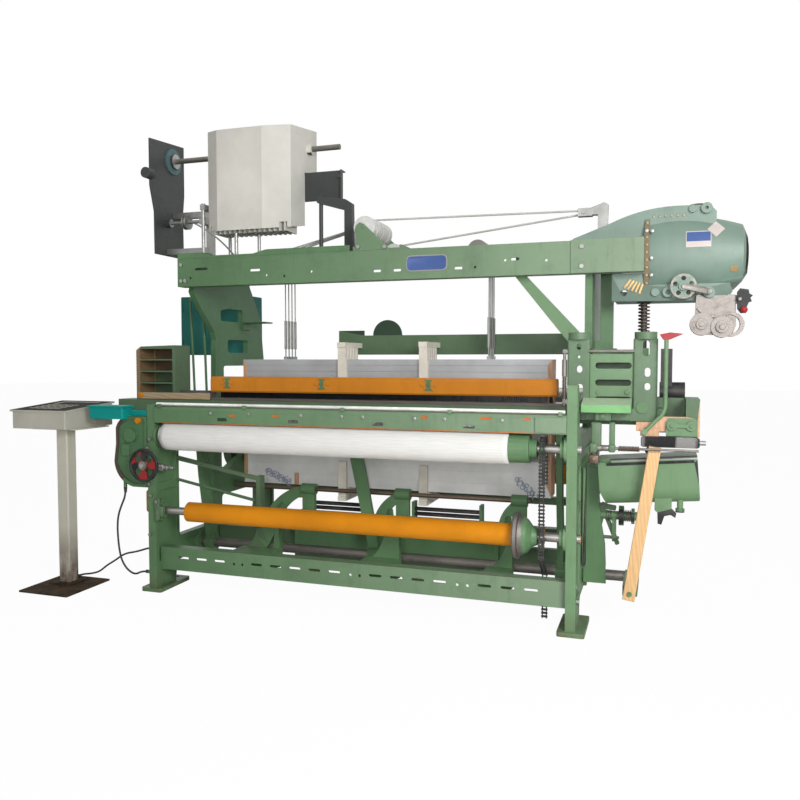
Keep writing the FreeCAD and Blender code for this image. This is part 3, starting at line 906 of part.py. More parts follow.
column = union(rod_z(COLUMN_X, COLUMN_Y, 1180, 1484 - GAP, COLUMN_R),
               rod_z(COLUMN_X, COLUMN_Y, SPRING_Z0 - 20, SPRING_Z0 - SPRING_WIRE_R, SPRING_R + 5),
               rod_z(COLUMN_X, COLUMN_Y, SPRING_Z1 + SPRING_WIRE_R, 1484 - GAP, SPRING_R + 8),
               rod_z(COLUMN_X, COLUMN_Y, 1200, 1250, 24),
               box(1190, COLUMN_X, COLUMN_Y - 12, COLUMN_Y + 12, 1212, 1238),
               box(RIGHT_ARCH + ARCH_T + GAP, 1214, 404, 460, 1200, 1250))
save("dobby_column", column,
     coil(COLUMN_X, COLUMN_Y, SPRING_Z0, SPRING_Z1, SPRING_R, SPRING_TURNS, SPRING_WIRE_R))

# ---- jacquard head at the left end of the top beam ----------------------------------------
JAC_X0, JAC_X1 = -947.0, -452.0
SHELF_Z0, SHELF_Z1 = BEAM_Z1 + GAP, BEAM_Z1 + 31.0
JAC_PROFILE = [(300, 1890), (300, 2425), (680, 2480), (680, 2240), (520, 2220), (520, 1930)]
head = plate_x(JAC_PROFILE, JAC_X0, JAC_X1)
head = head.cut([plate_z([(JAC_X0 - 1, 299), (-865, 299), (JAC_X0 - 1, 345)], 1800, 2600),
                 plate_z([(-600, 299), (JAC_X1 + 1, 299), (JAC_X1 + 1, 350)], 1800, 2600)])
hollow = plate_x([(330, 1889), (330, 1925), (500, 1950), (500, 1918)], JAC_X0 + 20, JAC_X1 - 20)
head = head.cut(hollow)
for i in range(15):
    x = JAC_X0 + 34 + 30.0 * i
    head = head.fuse(box(x, x + 12, 345, 480, 1880, 1940))
SHAFT_Y, SHAFT_Z, SHAFT_R = 570.0, 2355.0, 15.0
head = head.fuse([rod_x(JAC_X1 - 1, JAC_X1 + 26, SHAFT_Y, SHAFT_Z, 30),
                  rod_x(JAC_X0 - 14, JAC_X0 + 1, SHAFT_Y, SHAFT_Z, 30)])
head = head.cut(rod_x(JAC_X0 - 20, JAC_X1 + 30, SHAFT_Y, SHAFT_Z, SHAFT_R + RUN))
head = head.fuse(box(-700, -560, 520, 560, 2050, 2230)).removeSplitter()
save("jacquard_head", head)
PLATE_X = -1330.0
save("jacquard_shaft", rod_x(PLATE_X - 30, -263, SHAFT_Y, SHAFT_Z, SHAFT_R))

end_plate = plate_x([(352, 2440), (684, 2466), (684, 2180), (668, 2060), (672, 1800), (392, 1800), (390, 2040),
                     (352, 2180)], PLATE_X - 4, PLATE_X + 4)
end_plate = end_plate.fuse([rod_x(PLATE_X - 12, PLATE_X + 30, SHAFT_Y, SHAFT_Z, 42),
                            rod_x(PLATE_X - 2, PLATE_X + 14, SHAFT_Y, SHAFT_Z, 74)])
end_plate = end_plate.fuse([rod_x(PLATE_X + 3, PLATE_X + 40, 500, 1986, 24), rod_y(PLATE_X, 312, 366, 2240, 30)])
end_plate = end_plate.cut(rod_x(PLATE_X - 40, PLATE_X + 40, SHAFT_Y, SHAFT_Z, SHAFT_R + RUN)).removeSplitter()

shelf_plate = union(box(-1100, -90, BEAM_Y0 + 2, 700, SHELF_Z0, SHELF_Z0 + 8),
                    plate_y([(-1100, SHELF_Z0), (-1100, SHELF_Z1), (-940, SHELF_Z1), (-870, SHELF_Z0 + 12),
                             (-640, SHELF_Z0 + 12), (-560, SHELF_Z1), (-90, SHELF_Z1), (-90, SHELF_Z0)],
                            BEAM_Y0 + 2, BEAM_Y0 + 10),
                    box(-1100, -90, 692, 700, SHELF_Z0, SHELF_Z1))
stand = shelf_plate.cut(gusset.fuse([sheave_bracket(SHEAVE_X[0], SHEAVE_X[0] + 4),
                                     box(-640, -395, 480, 720, SHELF_Z0 - 1, SHELF_Z1 + 20)]))
stand = stand.fuse([rod_z(-966, 320, SHELF_Z0, 2045, 10), rod_z(-966, 600, SHELF_Z0, 2045, 10),
                    rod_z(-775, 340, SHELF_Z0, 1880 - GAP, 10), rod_z(-680, 420, SHELF_Z0, 1880 - GAP, 9),
                    rod_z(-322, 447, SHELF_Z0, 2062, 11), rod_z(-178, 447, SHELF_Z0, 2000, 10),
                    box(-1100, -1062, 560, 598, SHELF_Z0, 2080),
                    box(PLATE_X + 4 + GAP, -1062, 560, 590, 2020, 2056),
                    box(PLATE_X + 4 + GAP, -1062, 500, 530, 1808, 1838), box(-1100, -1062, 500, 560, 1808, 1838),
                    box(-980, -952, 310, 610, 2010, 2040), box(-980, JAC_X0 - GAP, 400, 440, 2014, 2036)])
stand = stand.fuse([box(JAC_X1 + GAP, -228, 520, 526, 2060, 2216), box(JAC_X1 + GAP, -228, 520, 560, 2210, 2216),
                    box(-234, -228, 500, 526, 2060, 2216), rod_y(-240, 496, 530, 2180, 9),
                    plate_y([(-340, 2066), (-178, 2042), (-138, 2016), (-134, SHELF_Z0), (-174, SHELF_Z0),
                             (-180, 1985), (-340, 2032)], 430, 464), box(-346, -300, 430, 522, 2056, 2066)])
wheel = rod_x(-1200, -1176, 500, 1986, 42).cut(rod_x(-1192, -1184, 500, 1986, 60).cut(rod_x(-1193, -1183, 500, 1986, 34)))
stand = stand.fuse([rod_x(PLATE_X + 40 + GAP, -1080, 500, 1986, 10), wheel, box(-1100, -1062, 488, 565, 1970, 2002)])
# A bowed conduit from the roller by the end plate down to the shelf.
bow_start = V(-1188, 500, 2000)
bow = Part.Wire([Part.Arc(bow_start, V(-1020, 500, 1908), V(-852, 500, SHELF_Z0 + 4)).toShape()])
ring = Part.Wire([Part.Circle(bow_start, bow.Edges[0].tangentAt(bow.Edges[0].FirstParameter), 4.5).toShape()])
stand = stand.fuse(bow.makePipeShell([ring], True, True))
stand = stand.cut(box(-ARCH_IN - ARCH_T - GAP, -ARCH_IN + GAP, BEAM_Y1, 1160, SHELF_Z0 - 1, ARCH_TOP + GAP))
save("jacquard_stand", stand.removeSplitter(), end_plate)

# ---- console on its pedestal, rear cabinet ------------------------------------------------
POST_X, POST_Y, POST_W = -1580.0, -60.0, 70.0
pedestal = soften(box(-1710, -1405, -279, 51, 0, 8), V(0, 0, 1), 6)
post = soften(box(POST_X - POST_W / 2, POST_X + POST_W / 2, POST_Y - POST_W / 2, POST_Y + POST_W / 2, 8, 838),
              V(0, 0, 1), 8)
foot = soften(box(POST_X - 70, POST_X + 70, POST_Y - 70, POST_Y + 70, 8, 16), V(0, 0, 1), 6)
pedestal = union(pedestal, post, foot, box(-1720, -1440, -150, 110, 832, 838),
                 rod_y(POST_X, POST_Y, POST_Y + POST_W / 2 + 13, 22, 9))
save("pedestal", pedestal.cut(rod_z(-1680, -245, -1, 10, 6)).cut(rod_z(-1435, 20, -1, 10, 6)))
CON_X0, CON_X1, CON_Y0, CON_Y1 = -1800.0, -1462.0, -200.0, 168.0
console = plate_x([(CON_Y0, 838 + GAP), (CON_Y1, 838 + GAP), (CON_Y1, 962), (CON_Y0, 934)], CON_X0, CON_X1)
console = soften(console, V(0, 0, 1), 7)
lid = plate_x([(CON_Y0 - 8, 927), (CON_Y0 - 8, 936), (CON_Y1 + 8, 966), (CON_Y1 + 8, 957)], CON_X0 - 8, CON_X1 + 8)
console = console.fuse(lid)
for ix in range(5):
    for iy in range(4):
        x, y = CON_X0 + 60 + 40.0 * ix, CON_Y0 + 60 + 42.0 * iy
        z = 936 + 30.0 * (y - CON_Y0 + 8) / (CON_Y1 - CON_Y0 + 16)
        console = console.fuse(box(x, x + 26, y, y + 26, z - 6, z + 3.5))
console = console.cut(plate_x([(40, 950.5), (140, 958.6), (140, 980), (40, 980)], CON_X0 + 46, CON_X1 - 46))
save("console_box", console.fuse(box(-1478, -1454, 20, 60, 860, 876)).removeSplitter())

CAB_X0, CAB_X1, CAB_Y0, CAB_Y1, CAB_Z0, CAB_Z1 = -1610.0, -1116.0, 1050.0, 1250.0, 1228.0, 1610.0
cabinet = soften(box(CAB_X0, CAB_X1, CAB_Y0 + 6, CAB_Y1, CAB_Z0, CAB_Z1), V(0, 1, 0), 8)
door = soften(box(CAB_X0 + 10, CAB_X1 - 10, CAB_Y0, CAB_Y0 + 8, CAB_Z0 + 10, CAB_Z1 - 10), V(0, 1, 0), 6)
hinges = [rod_z(CAB_X0 + 14, CAB_Y0 - 2, z, z + 46, 6) for z in (CAB_Z0 + 50, CAB_Z1 - 96)]
cabinet = union(cabinet, door, rod_y(CAB_X1 - 40, CAB_Y0 - 14, CAB_Y0, 1420, 16), *hinges)
cabinet = cabinet.fuse([box(CAB_X1 - 1, -ARCH_IN - ARCH_T - GAP, 1062, 1100, 1270, 1300),
                        box(CAB_X1 - 1, -ARCH_IN - ARCH_T - GAP, 1056, 1090, 1400, 1430)])
save("rear_cabinet", cabinet.removeSplitter())

# ---- free cables --------------------------------------------------------------------------
GUARD_CABLE = [(-1232, -30, 532), (-1232, -30, 488), (-1258, -30, 436), (-1280, -30, 382), (-1287, -30, 322),
               (-1284, -30, 256), (-1277, -30, 194), (-1262, -30, 138), (-1228, -30, 94), (-1180, -30, 72),
               (-1136, -30, 96), (-1094, -30, 96)]
CONSOLE_CABLE = [(-1580, -12, 22), (-1580, 42, 22), (-1566, 92, 12), (-1524, 114, 22), (-1472, 106, 62),
                 (-1408, 100, 98), (-1344, 96, 142), (-1262, 98, 158), (-1172, 100, 190), (-1094, 100, 190)]


def cable(name, points):
    """Straight runs joined by arcs as large as the runs allow."""
    pts = [V(*p) for p in points]
    edges, start, radii = [], pts[0], []
    for a, b, c in zip(pts, pts[1:], pts[2:]):
        u, w = (b - a), (c - b)
        short = 0.45 * min(u.Length, w.Length)
        turn = u.getAngle(w)
        radii.append(round(short / math.tan(turn / 2.0)))
        u, w = u * (1.0 / u.Length), w * (1.0 / w.Length)
        first, last = b - u * short, b + w * short
        inward = (w - u) * (1.0 / (w - u).Length)
        radius = short / math.tan(turn / 2.0)
        middle = b + inward * (radius / math.cos(turn / 2.0) - radius)
        edges.append(Part.LineSegment(start, first).toShape())
        edges.append(Part.Arc(first, middle, last).toShape())
        start = last
    edges.append(Part.LineSegment(start, pts[-1]).toShape())
    path = Part.Wire(edges)
    ring = Part.Wire([Part.Circle(pts[0], pts[1] - pts[0], CABLE_R).toShape()])
    tube = path.makePipeShell([ring], True, True)
    print(name, "radii", radii, "volume ratio", round(tube.Volume / (math.pi * CABLE_R ** 2 * path.Length), 4))
    return tube


save("guard_cable", cable("guard_cable", GUARD_CABLE))
save("console_cable", cable("console_cable", CONSOLE_CABLE))

# ---- picking motion at the right end ------------------------------------------------------
PICK_X0, PICK_X1, PICK_Y0, PICK_Y1 = 1158.0, 1580.0, 172.0, 356.0
shell = box(PICK_X0, PICK_X1, PICK_Y0, PICK_Y1, 556, 765)
low_edges = [e for e in shell.Edges if abs(e.CenterOfMass.y - PICK_Y0) < 1 and abs(e.CenterOfMass.z - 556) < 1]
shell = shell.makeFillet(70, low_edges)
top_edges = [e for e in shell.Edges if abs(e.CenterOfMass.y - PICK_Y0) < 1 and abs(e.CenterOfMass.z - 765) < 1]
shell = shell.makeFillet(18, top_edges)
shell.rotate(V(1370, 0, 660), V(0, 1, 0), -4.5)
shell = shell.cut([plate_y([(1100, 500), (1210, 500), (1145, 640), (1100, 640)], 100, 400),
                   plate_y([(1572, 820), (1640, 820), (1640, 500), (1568, 500), (1594, 620)], 100, 400),
                   box(1140, 1210, PICK_Y0 - 10, PICK_Y0 + 20, 735, 800)])
shell = shell.fuse([box(1196, 1566, PICK_Y0 - 4, PICK_Y0 + 10, 735, 747).rotated(V(1370, 0, 660), V(0, 1, 0), -4.5),
                    rod_z(1505, 210, 528, 580, 13), rod_z(1505, 210, 524, 540, 19)])
casting = plate_y([(FRAME_OUT + GAP, 150), (FRAME_OUT + GAP, 700), (1152, 700), (1176, 640), (1150, 560),
                   (1162, 420), (1178, 330), (1186, 150)], 300, 352)
casting = casting.fuse([box(FRAME_OUT + GAP, FRAME_OUT + 12, 240, 440, 240, 700), rod_x(1150, 1330, 330, 470, 20),
                        rod_x(1240, 1262, 330, 470, 46), rod_x(1296, 1310, 330, 470, 36),
                        plate_x([(312, 458), (348, 458), (344, 360), (330, 345), (316, 360)], 1210, 1228)])
casting = casting.cut(rod_x(FRAME_OUT, 1200, SLAY_PIVOT_Y, SLAY_PIVOT_Z, 66))
spikes = plate_y([(1398, 590), (1470, 590), (1470, 540), (1490, 520), (1486, 500), (1466, 512), (1440, 505),
                  (1428, 466), (1412, 470), (1410, 520), (1398, 530)], 190, 204)
save("pick_guard", shell.fuse([casting, spikes]).removeSplitter())

STICK_LEAN = math.degrees(math.atan2(STICK_TOP[0] - STICK_X, STICK_TOP[1] - STICK_Z))
stick_len = math.hypot(STICK_TOP[0] - STICK_X, STICK_TOP[1] - STICK_Z)
stick = soften(box(STICK_X - 26, STICK_X + 26, STICK_Y0, STICK_Y1, STICK_Z - 30, STICK_Z + stick_len), V(0, 0, 1), 4)
stick = stick.cut(rod_y(STICK_X, STICK_Y0 - 1, STICK_Y1 + 1, STICK_Z, STICK_PIN_R + RUN))
stick.rotate(V(STICK_X, 0, STICK_Z), V(0, 1, 0), STICK_LEAN)
save("picking_stick", stick)

STRAP_TOP = 864.0
# Picker box floor, its double-eye plate and the strap below it, all carried by the slay end.
picker = union(box(1316, 1577, 140, SLAY_Y0 - GAP, 884, GZ0 - GAP),
               box(GUIDE_R[1] + GAP, 1577, 140, SLAY_Y0 - GAP, 884, 950))
eyes = plate_y([(1440, 866), (1568, 866), (1568, 930), (1556, 944), (1452, 944), (1440, 930)], 128, 142)
double_eye = union(rod_y(1464, 118, 130, 912, 21), rod_y(1543, 118, 130, 912, 21), box(1464, 1543, 118, 130, 904, 920),
                   rod_y(1464, 112, 130, 912, 8), rod_y(1543, 112, 130, 912, 8))
picker = union(picker, eyes, double_eye, box(1334, 1412, 130, 145, STRAP_TOP + GAP, 898),
               box(1520, 1577, 140, 380, STRAP_TOP + GAP, 1026),
               box(1400, 1577, SLAY_Y1 + GAP, 380, STRAP_TOP + GAP, 1026),
               rod_x(1410, 1520, 356, 1050, 44), box(1414, 1464, SLAY_Y1 + GAP, 372, 1020, 1246))
strap = plate_y([(1337, 824), (1345, 818), (1568, 818), (1577, 824), (1577, 858), (1568, STRAP_TOP),
                 (1345, STRAP_TOP), (1337, 858)], 112, 150)
strap = strap.cut(box(1330, 1580, 124, 138, 826, 856))
strap = strap.fuse([rod_x(1570, 1602, 131, 840, 10), rod_y(1362, 104, 155, 842, 12), rod_y(1394, 104, 155, 842, 12),
                    rod_y(1370, 112, 130, 802, 15), box(1364, 1376, 112, 130, 802, 820)])
HANDLE_Y, HANDLE_R = 104.0, 9.0
handle_top, bend_in, bend_out = V(1436, HANDLE_Y, 1290), V(1436, HANDLE_Y, 1010), V(1402, HANDLE_Y, 938)
path = [Part.LineSegment(handle_top, bend_in).toShape(),
        Part.Arc(bend_in, V(1428, HANDLE_Y, 969), bend_out).toShape(),
        Part.LineSegment(bend_out, V(1352, HANDLE_Y, 884)).toShape()]
ring = Part.Wire([Part.Circle(handle_top, V(0, 0, -1), HANDLE_R).toShape()])
handle = Part.Wire(path).makePipeShell([ring], True, True)
handle = handle.fuse([plate_y([(1408, 1304), (1422, 1282), (1450, 1282), (1504, 1306), (1450, 1312)],
                              HANDLE_Y - 10, HANDLE_Y + 10),
                      rod_y(1352, HANDLE_Y - 10, 130 - GAP, 884, 13)])
save("picker_box", picker, strap.removeSplitter(), handle.removeSplitter())

# ---- bolts: one hexagon head each ---------------------------------------------------------
heads = []
for x, y, z in ((-1075, BEAM_Y0, 1625), (-1075, BEAM_Y0, 1712), (-1050, BEAM_Y0, 1625), (-40, BEAM_Y0 + 2, 1764),
                (100, BEAM_Y0 + 2, 1758), (1062, BEAM_Y0 - 6, 1625), (1062, BEAM_Y0 - 6, 1715)):
    heads.append(hexagon(x, y - 9, y, z, 22))
for side, pad in ((-1, ARCH_IN + ARCH_T + 8), (1, RIGHT_ARCH + ARCH_T + 8)):
    for y in (592, 1062):
        heads.append(hexagon_x(*sorted((side * pad, side * (pad + 10))), y, FRAME_TOP + 18, 28))
    for y, z in ((22, 134), (22, 198), (1190, 134), (1190, 198)):
        face_x = FRAME_OUT if z < 150 else FRAME_OUT - POCKET
        heads.append(hexagon_x(*sorted((side * face_x, side * (face_x + 10))), y, z, 24))
save("frame_bolts", *heads)
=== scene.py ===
"""Looks of a power loom: enamels, bright shafts, timber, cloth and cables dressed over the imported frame."""

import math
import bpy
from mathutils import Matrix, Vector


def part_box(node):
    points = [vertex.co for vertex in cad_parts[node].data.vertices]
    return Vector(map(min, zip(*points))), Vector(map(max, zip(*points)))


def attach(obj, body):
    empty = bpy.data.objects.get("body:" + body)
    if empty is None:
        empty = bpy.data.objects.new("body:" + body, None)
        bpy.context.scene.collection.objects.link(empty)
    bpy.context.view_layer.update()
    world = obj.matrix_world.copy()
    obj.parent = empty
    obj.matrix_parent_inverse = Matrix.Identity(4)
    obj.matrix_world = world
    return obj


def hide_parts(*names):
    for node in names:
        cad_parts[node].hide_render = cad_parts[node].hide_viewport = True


bl_info = {
    "name": "Power Loom Finishes",
    "version": (1, 0, 0),
    "blender": (4, 5, 0),
    "location": "View3D > Sidebar > Loom",
    "description": "Dresses the frame of a power loom with its enamels, metals, timber, cloth and cables",
    "category": "Object",
}

import bmesh
import bpy
from mathutils import Vector

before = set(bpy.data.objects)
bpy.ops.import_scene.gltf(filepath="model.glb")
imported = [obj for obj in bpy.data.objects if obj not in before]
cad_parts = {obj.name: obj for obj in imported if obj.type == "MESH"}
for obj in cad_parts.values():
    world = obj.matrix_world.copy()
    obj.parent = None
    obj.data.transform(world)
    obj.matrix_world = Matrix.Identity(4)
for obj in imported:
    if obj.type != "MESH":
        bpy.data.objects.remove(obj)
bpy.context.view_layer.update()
MM = 0.001
FLOOR_Y = -0.6025        # the loom's own y of 0 lies here in the frame

# Turns that lay a primitive's own axis along the loom's width or its depth.
ALONG_X, ALONG_Y = (0, math.pi / 2, 0), (math.pi / 2, 0, 0)

# Axes in the loom's millimetres: y and z of those along its width, x and z of those along its depth.
TAKE_UP_AXIS, CLOTH_AXIS, ROCKER_AXIS = (0, 807), (0, 418), (380, 172)
CRANK_AXIS, WARP_AXIS, HEAD_AXIS = (930, 640), (1470, 500), (570, 2355)
WHEEL_AXIS, GUARD_CAP, DISC_AXIS, LINK_PIN = (-1062, 662), (-1128, 884), (1505, 1524), (1613, 1496)
COLUMN_AXIS = (1336, 420)        # x and y of the upright column

CLIPS, CLIP_HALF = (-790, -238, 334), 13       # middles of the reed cap's clips, half the width of their plates
HEALD_Y, HEALD_STEP = 480, 40                  # the heald frames stand at this y plus their number's steps
THIN_EDGE = 0.0015                             # edge rounding of sheet metal, in metres

# The stage: how white the camera sees the floor, the world's plain light, the lamps as name, place, aim, size and
# power, and the camera that the photograph was solved to.
FLOOR_GLOW, PLAIN_LIGHT = 0.97, 0.23
LAMPS = (("key", (2.9, -3.7, 2.3), (0.3, -0.2, 1.1), 1.4, 140),
         ("flash", (1.25, -4.3, 1.35), (0.0, 0.2, 0.8), 0.5, 34),
         ("fill", (-3.6, -4.4, 2.2), (-0.5, 0.0, 0.8), 3.0, 8),
         ("top", (0.3, 0.4, 5.2), (0.0, 0.2, 1.0), 3.5, 45))
LENS, SENSOR = 35.3, 36.0
CAMERA_PLACE, CAMERA_DOWN, CAMERA_LEFT = (1.42, -4.0425, 1.195), 2.92, 18.46


def at(x, y, z):
    """A place given in the loom's own millimetres, in metres of the frame."""
    return Vector((x * MM, y * MM + FLOOR_Y, z * MM))


def off(axis, a, b):
    """How far a place lies from an axis, by its two coordinates across that axis."""
    return math.hypot(a - axis[0], b - axis[1])


def on_clip(x):
    """Whether a place along the reed cap lies on the plate of one of its clips."""
    return any(abs(x - middle) <= CLIP_HALF for middle in CLIPS)


# ---- settings a user would change -----------------------------------------------------------
def paint(name, text, colour):
    """A colour setting with its name, description and default."""
    return bpy.props.FloatVectorProperty(name=name, description=text, subtype="COLOR", size=3, min=0, max=1,
                                         default=colour)


class LoomPaints(bpy.types.PropertyGroup):
    """Base colours of the finishes that a user would change"""
    # Deep green and pale green are a shaded and a lit copy of one casting green: painted shade on the left, painted
    # light on the right.
    deep_green: paint("Deep green", "Enamel of the left castings", (0.070, 0.165, 0.072))
    mid_green: paint("Mid green", "Enamel of the beam and rails", (0.100, 0.200, 0.092))
    pale_green: paint("Pale green", "Enamel of the right castings", (0.138, 0.242, 0.124))
    rear_green: paint("Rear green", "Enamel of the rear rails and gear", (0.088, 0.150, 0.078))
    leaf_green: paint("Leaf green", "Enamel of the box guide's front cover", (0.185, 0.420, 0.165))
    sea_green: paint("Sea green", "Enamel of the dobby cover", (0.132, 0.212, 0.164))
    amber: paint("Amber", "Enamel of the cloth roller", (0.600, 0.215, 0.004))
    ochre: paint("Ochre", "Enamel of the reed cap", (0.600, 0.215, 0.018))
    turquoise: paint("Turquoise", "Enamel of the end tray", (0.004, 0.270, 0.240))
    teal: paint("Teal", "Enamel of the rear cabinet", (0.030, 0.190, 0.160))
    warm_grey: paint("Warm grey", "Enamel of the jacquard head and console", (0.640, 0.625, 0.570))
    charcoal: paint("Charcoal", "Blackened plates and brackets", (0.045, 0.050, 0.048))
    umber: paint("Umber", "Enamel of the left shuttle boxes", (0.130, 0.085, 0.042))
    cloth: paint("Cloth", "Bleached woven cloth", (0.760, 0.755, 0.730))
    timber: paint("Timber", "Varnished picking stick", (0.720, 0.440, 0.200))


class LoomSizes(bpy.types.PropertyGroup):
    """Pitches, edges and radii that a user would change"""
    cloth_turns: bpy.props.IntProperty(name="Cloth turns", description="Turns of cloth on the take-up roller",
                                       default=5, min=1, max=12)
    heald_pitch: bpy.props.FloatProperty(name="Heald pitch", description="Spacing of the wire healds",
                                         default=0.0056, unit="LENGTH")
    reed_pitch: bpy.props.FloatProperty(name="Reed pitch", description="Spacing of the reed's dents",
                                        default=0.0034, unit="LENGTH")
    thread: bpy.props.FloatProperty(name="Thread pitch", description="Spacing of the cloth's threads",
                                    default=0.0045, unit="LENGTH")
    edge: bpy.props.FloatProperty(name="Edge round", description="Rounding that castings show at their edges",
                                  default=0.0028, unit="LENGTH")
    cable: bpy.props.FloatProperty(name="Cable radius", description="Radius of the two sheathed cables",
                                   default=0.005, unit="LENGTH")


# ---- finishes ---------------------------------------------------------------------------------
class Recipe:
    """A material being mixed: the shader, its nodes and the links between them."""

    def __init__(self, name):
        self.material = bpy.data.materials.new(name)
        self.material.use_nodes = True
        self.nodes = self.material.node_tree.nodes
        self.links = self.material.node_tree.links
        self.shader = self.nodes["Principled BSDF"]
        self.place = self.nodes.new("ShaderNodeTexCoord").outputs["Object"]

    def set(self, **values):
        """Plain values of the shader's inputs, named in lower case."""
        for key, value in values.items():
            self.shader.inputs[key.replace("_", " ").title().replace("Ior", "IOR")].default_value = value
        return self

    def node(self, kind, inputs=(), **settings):
        """A new node with its settings and its inputs, linked or typed."""
        node = self.nodes.new(kind)
        for key, value in settings.items():
            setattr(node, key, value)
        for key, value in dict(inputs).items():
            if isinstance(value, bpy.types.NodeSocket):
                self.links.new(value, node.inputs[key])
            else:
                node.inputs[key].default_value = value
        return node

    def stretched(self, scale, where=None):
        """Coordinates with a scale of their own along each axis."""
        return self.node("ShaderNodeMapping", {"Vector": where or self.place, "Scale": scale}).outputs[0]

    def noise(self, scale, detail=4.0, rough=0.55, where=None):
        """A cloudy pattern between 0 and 1."""
        return self.node("ShaderNodeTexNoise", {"Vector": where or self.place, "Scale": scale, "Detail": detail,
                                                "Roughness": rough}).outputs["Fac"]

    def ramp(self, value, low, high):
        """A value spread from 0 at low to 1 at high."""
        return self.node("ShaderNodeMapRange", {"Value": value, "From Min": low, "From Max": high}).outputs[0]

    def times(self, a, b, what="MULTIPLY"):
        """Two values put together, multiplied unless told otherwise."""
        node = self.nodes.new("ShaderNodeMath")
        node.operation = what
        node.use_clamp = what == "ADD"
        for slot, value in enumerate((a, b)):
            if isinstance(value, bpy.types.NodeSocket):
                self.links.new(value, node.inputs[slot])
            else:
                node.inputs[slot].default_value = value
        return node.outputs[0]

    def mix(self, share, a, b):
        """Colour a turning to colour b as the share goes from 0 to 1."""
        node = self.nodes.new("ShaderNodeMix")
        node.data_type = "RGBA"
        for slot, value in ((0, share), (6, a), (7, b)):
            if isinstance(value, bpy.types.NodeSocket):
                self.links.new(value, node.inputs[slot])
            else:
                node.inputs[slot].default_value = value if slot == 0 else (*value, 1)[:4]
        return node.outputs[2]

    def colour(self, socket):
        """Sets what the base colour is taken from."""
        self.links.new(socket, self.shader.inputs["Base Color"])

    def rough(self, value, low, high):
        """Roughness from low to high as the value goes from 0 to 1."""
        got = self.node("ShaderNodeMapRange", {"Value": value, "To Min": low, "To Max": high}).outputs[0]
        self.links.new(got, self.shader.inputs["Roughness"])

    def bump(self, height, depth, strength=1.0, edge=0.0):
        """Relief of the skin, on edges rounded by the given radius."""
        inputs = {"Height": height, "Distance": depth, "Strength": strength}
        if edge:
            inputs["Normal"] = self.node("ShaderNodeBevel", {"Radius": edge}, samples=4).outputs[0]
        self.links.new(self.node("ShaderNodeBump", inputs).outputs[0], self.shader.inputs["Normal"])

    def worn_edges(self, radius):
        """1 on an outer edge that hands and tools rub, 0 on the flat."""
        soft = self.node("ShaderNodeBevel", {"Radius": radius}, samples=4).outputs[0]
        true = self.nodes.new("ShaderNodeNewGeometry").outputs["Normal"]
        dot = self.node("ShaderNodeVectorMath", {0: soft, 1: true}, operation="DOT_PRODUCT").outputs["Value"]
        return self.ramp(dot, 0.985, 0.86)


def shade(colour, by):
    """A colour made lighter or darker by a factor."""
    return tuple(min(1.0, c * by) for c in colour)


def enamel(name, colour, roughness=0.36, grime=0.35, wear=0.5, edge=0.0028, gloss=0.06, lit_colour=None):
    """Brushed machine enamel: uneven coat, oily grime in patches, chipped and rubbed edges. Given a lit colour, the
    coat turns to that lighter colour towards the drive side: painted light, as more light falls there."""
    mat = Recipe(name)
    broad = mat.noise(2.6, 5, 0.6)
    fine = mat.noise(46, 6, 0.65)
    coat = mat.mix(mat.ramp(broad, 0.3, 0.7), shade(colour, 0.86), shade(colour, 1.13))
    # painted light: the coat grows lighter towards the drive side
    if lit_colour:
        side = mat.node("ShaderNodeSeparateXYZ", {"Vector": mat.place}).outputs["X"]
        pale = mat.mix(mat.ramp(broad, 0.3, 0.7), shade(lit_colour, 0.92), shade(lit_colour, 1.08))
        coat = mat.mix(mat.ramp(side, -0.9, 1.35), coat, pale)
    dirt = mat.times(mat.ramp(mat.noise(7.5, 8, 0.72), 0.52, 0.74), grime)
    dirty = mat.mix(dirt, coat, tuple(0.45 * c + 0.012 for c in colour))
    specks = mat.times(mat.ramp(mat.noise(120, 3, 0.6), 0.70, 0.76), 0.5 * grime)
    flecked = mat.mix(specks, dirty, (0.05, 0.045, 0.035))
    streaks = mat.ramp(mat.noise(5, 6, 0.7, mat.stretched((5, 5, 0.6))), 0.54, 0.72)
    flecked = mat.mix(mat.times(streaks, 0.9 * grime), flecked, shade(colour, 0.62))
    height = mat.node("ShaderNodeSeparateXYZ", {"Vector": mat.place}).outputs["Z"]
    splash = mat.times(mat.ramp(height, 0.11, 0.0), mat.ramp(mat.noise(11, 6, 0.7), 0.36, 0.62))
    flecked = mat.mix(mat.times(splash, 0.75), flecked, (0.115, 0.070, 0.040))
    rub = mat.times(mat.times(mat.worn_edges(edge), mat.ramp(mat.noise(19, 5, 0.7), 0.45, 0.62)), wear)
    mat.colour(mat.mix(rub, flecked, (0.30, 0.27, 0.22)))
    mat.rough(mat.times(fine, dirt, "ADD"), roughness - 0.08, roughness + 0.26)
    mat.bump(mat.times(fine, mat.times(broad, 2.0), "ADD"), 0.0006, 0.5, edge)
    return mat.set(coat_weight=gloss, coat_roughness=0.3 + 0.22 * gloss,
                   specular_ior_level=min(0.5, 0.1 + 4 * gloss)).material


def scuffed_post(name, colour):
    """Grey post enamel, rubbed through to rusty dirt towards its foot."""
    mat = Recipe(name)
    height = mat.node("ShaderNodeSeparateXYZ", {"Vector": mat.place}).outputs["Z"]
    coat = mat.mix(mat.ramp(mat.noise(3, 5, 0.6), 0.3, 0.7), shade(colour, 0.92), shade(colour, 1.08))
    low = mat.ramp(height, 0.32, 0.05)
    spread = mat.times(low, mat.ramp(mat.noise(13, 7, 0.7, mat.stretched((1, 1, 0.35))), 0.26, 0.50))
    mat.colour(mat.mix(spread, coat, (0.105, 0.055, 0.038)))
    mat.rough(mat.times(mat.noise(60, 5, 0.6), spread, "ADD"), 0.38, 0.75)
    mat.bump(mat.noise(46, 5, 0.6), 0.0004, 0.5, 0.0015)
    return mat.set(coat_weight=0.1, coat_roughness=0.3).material


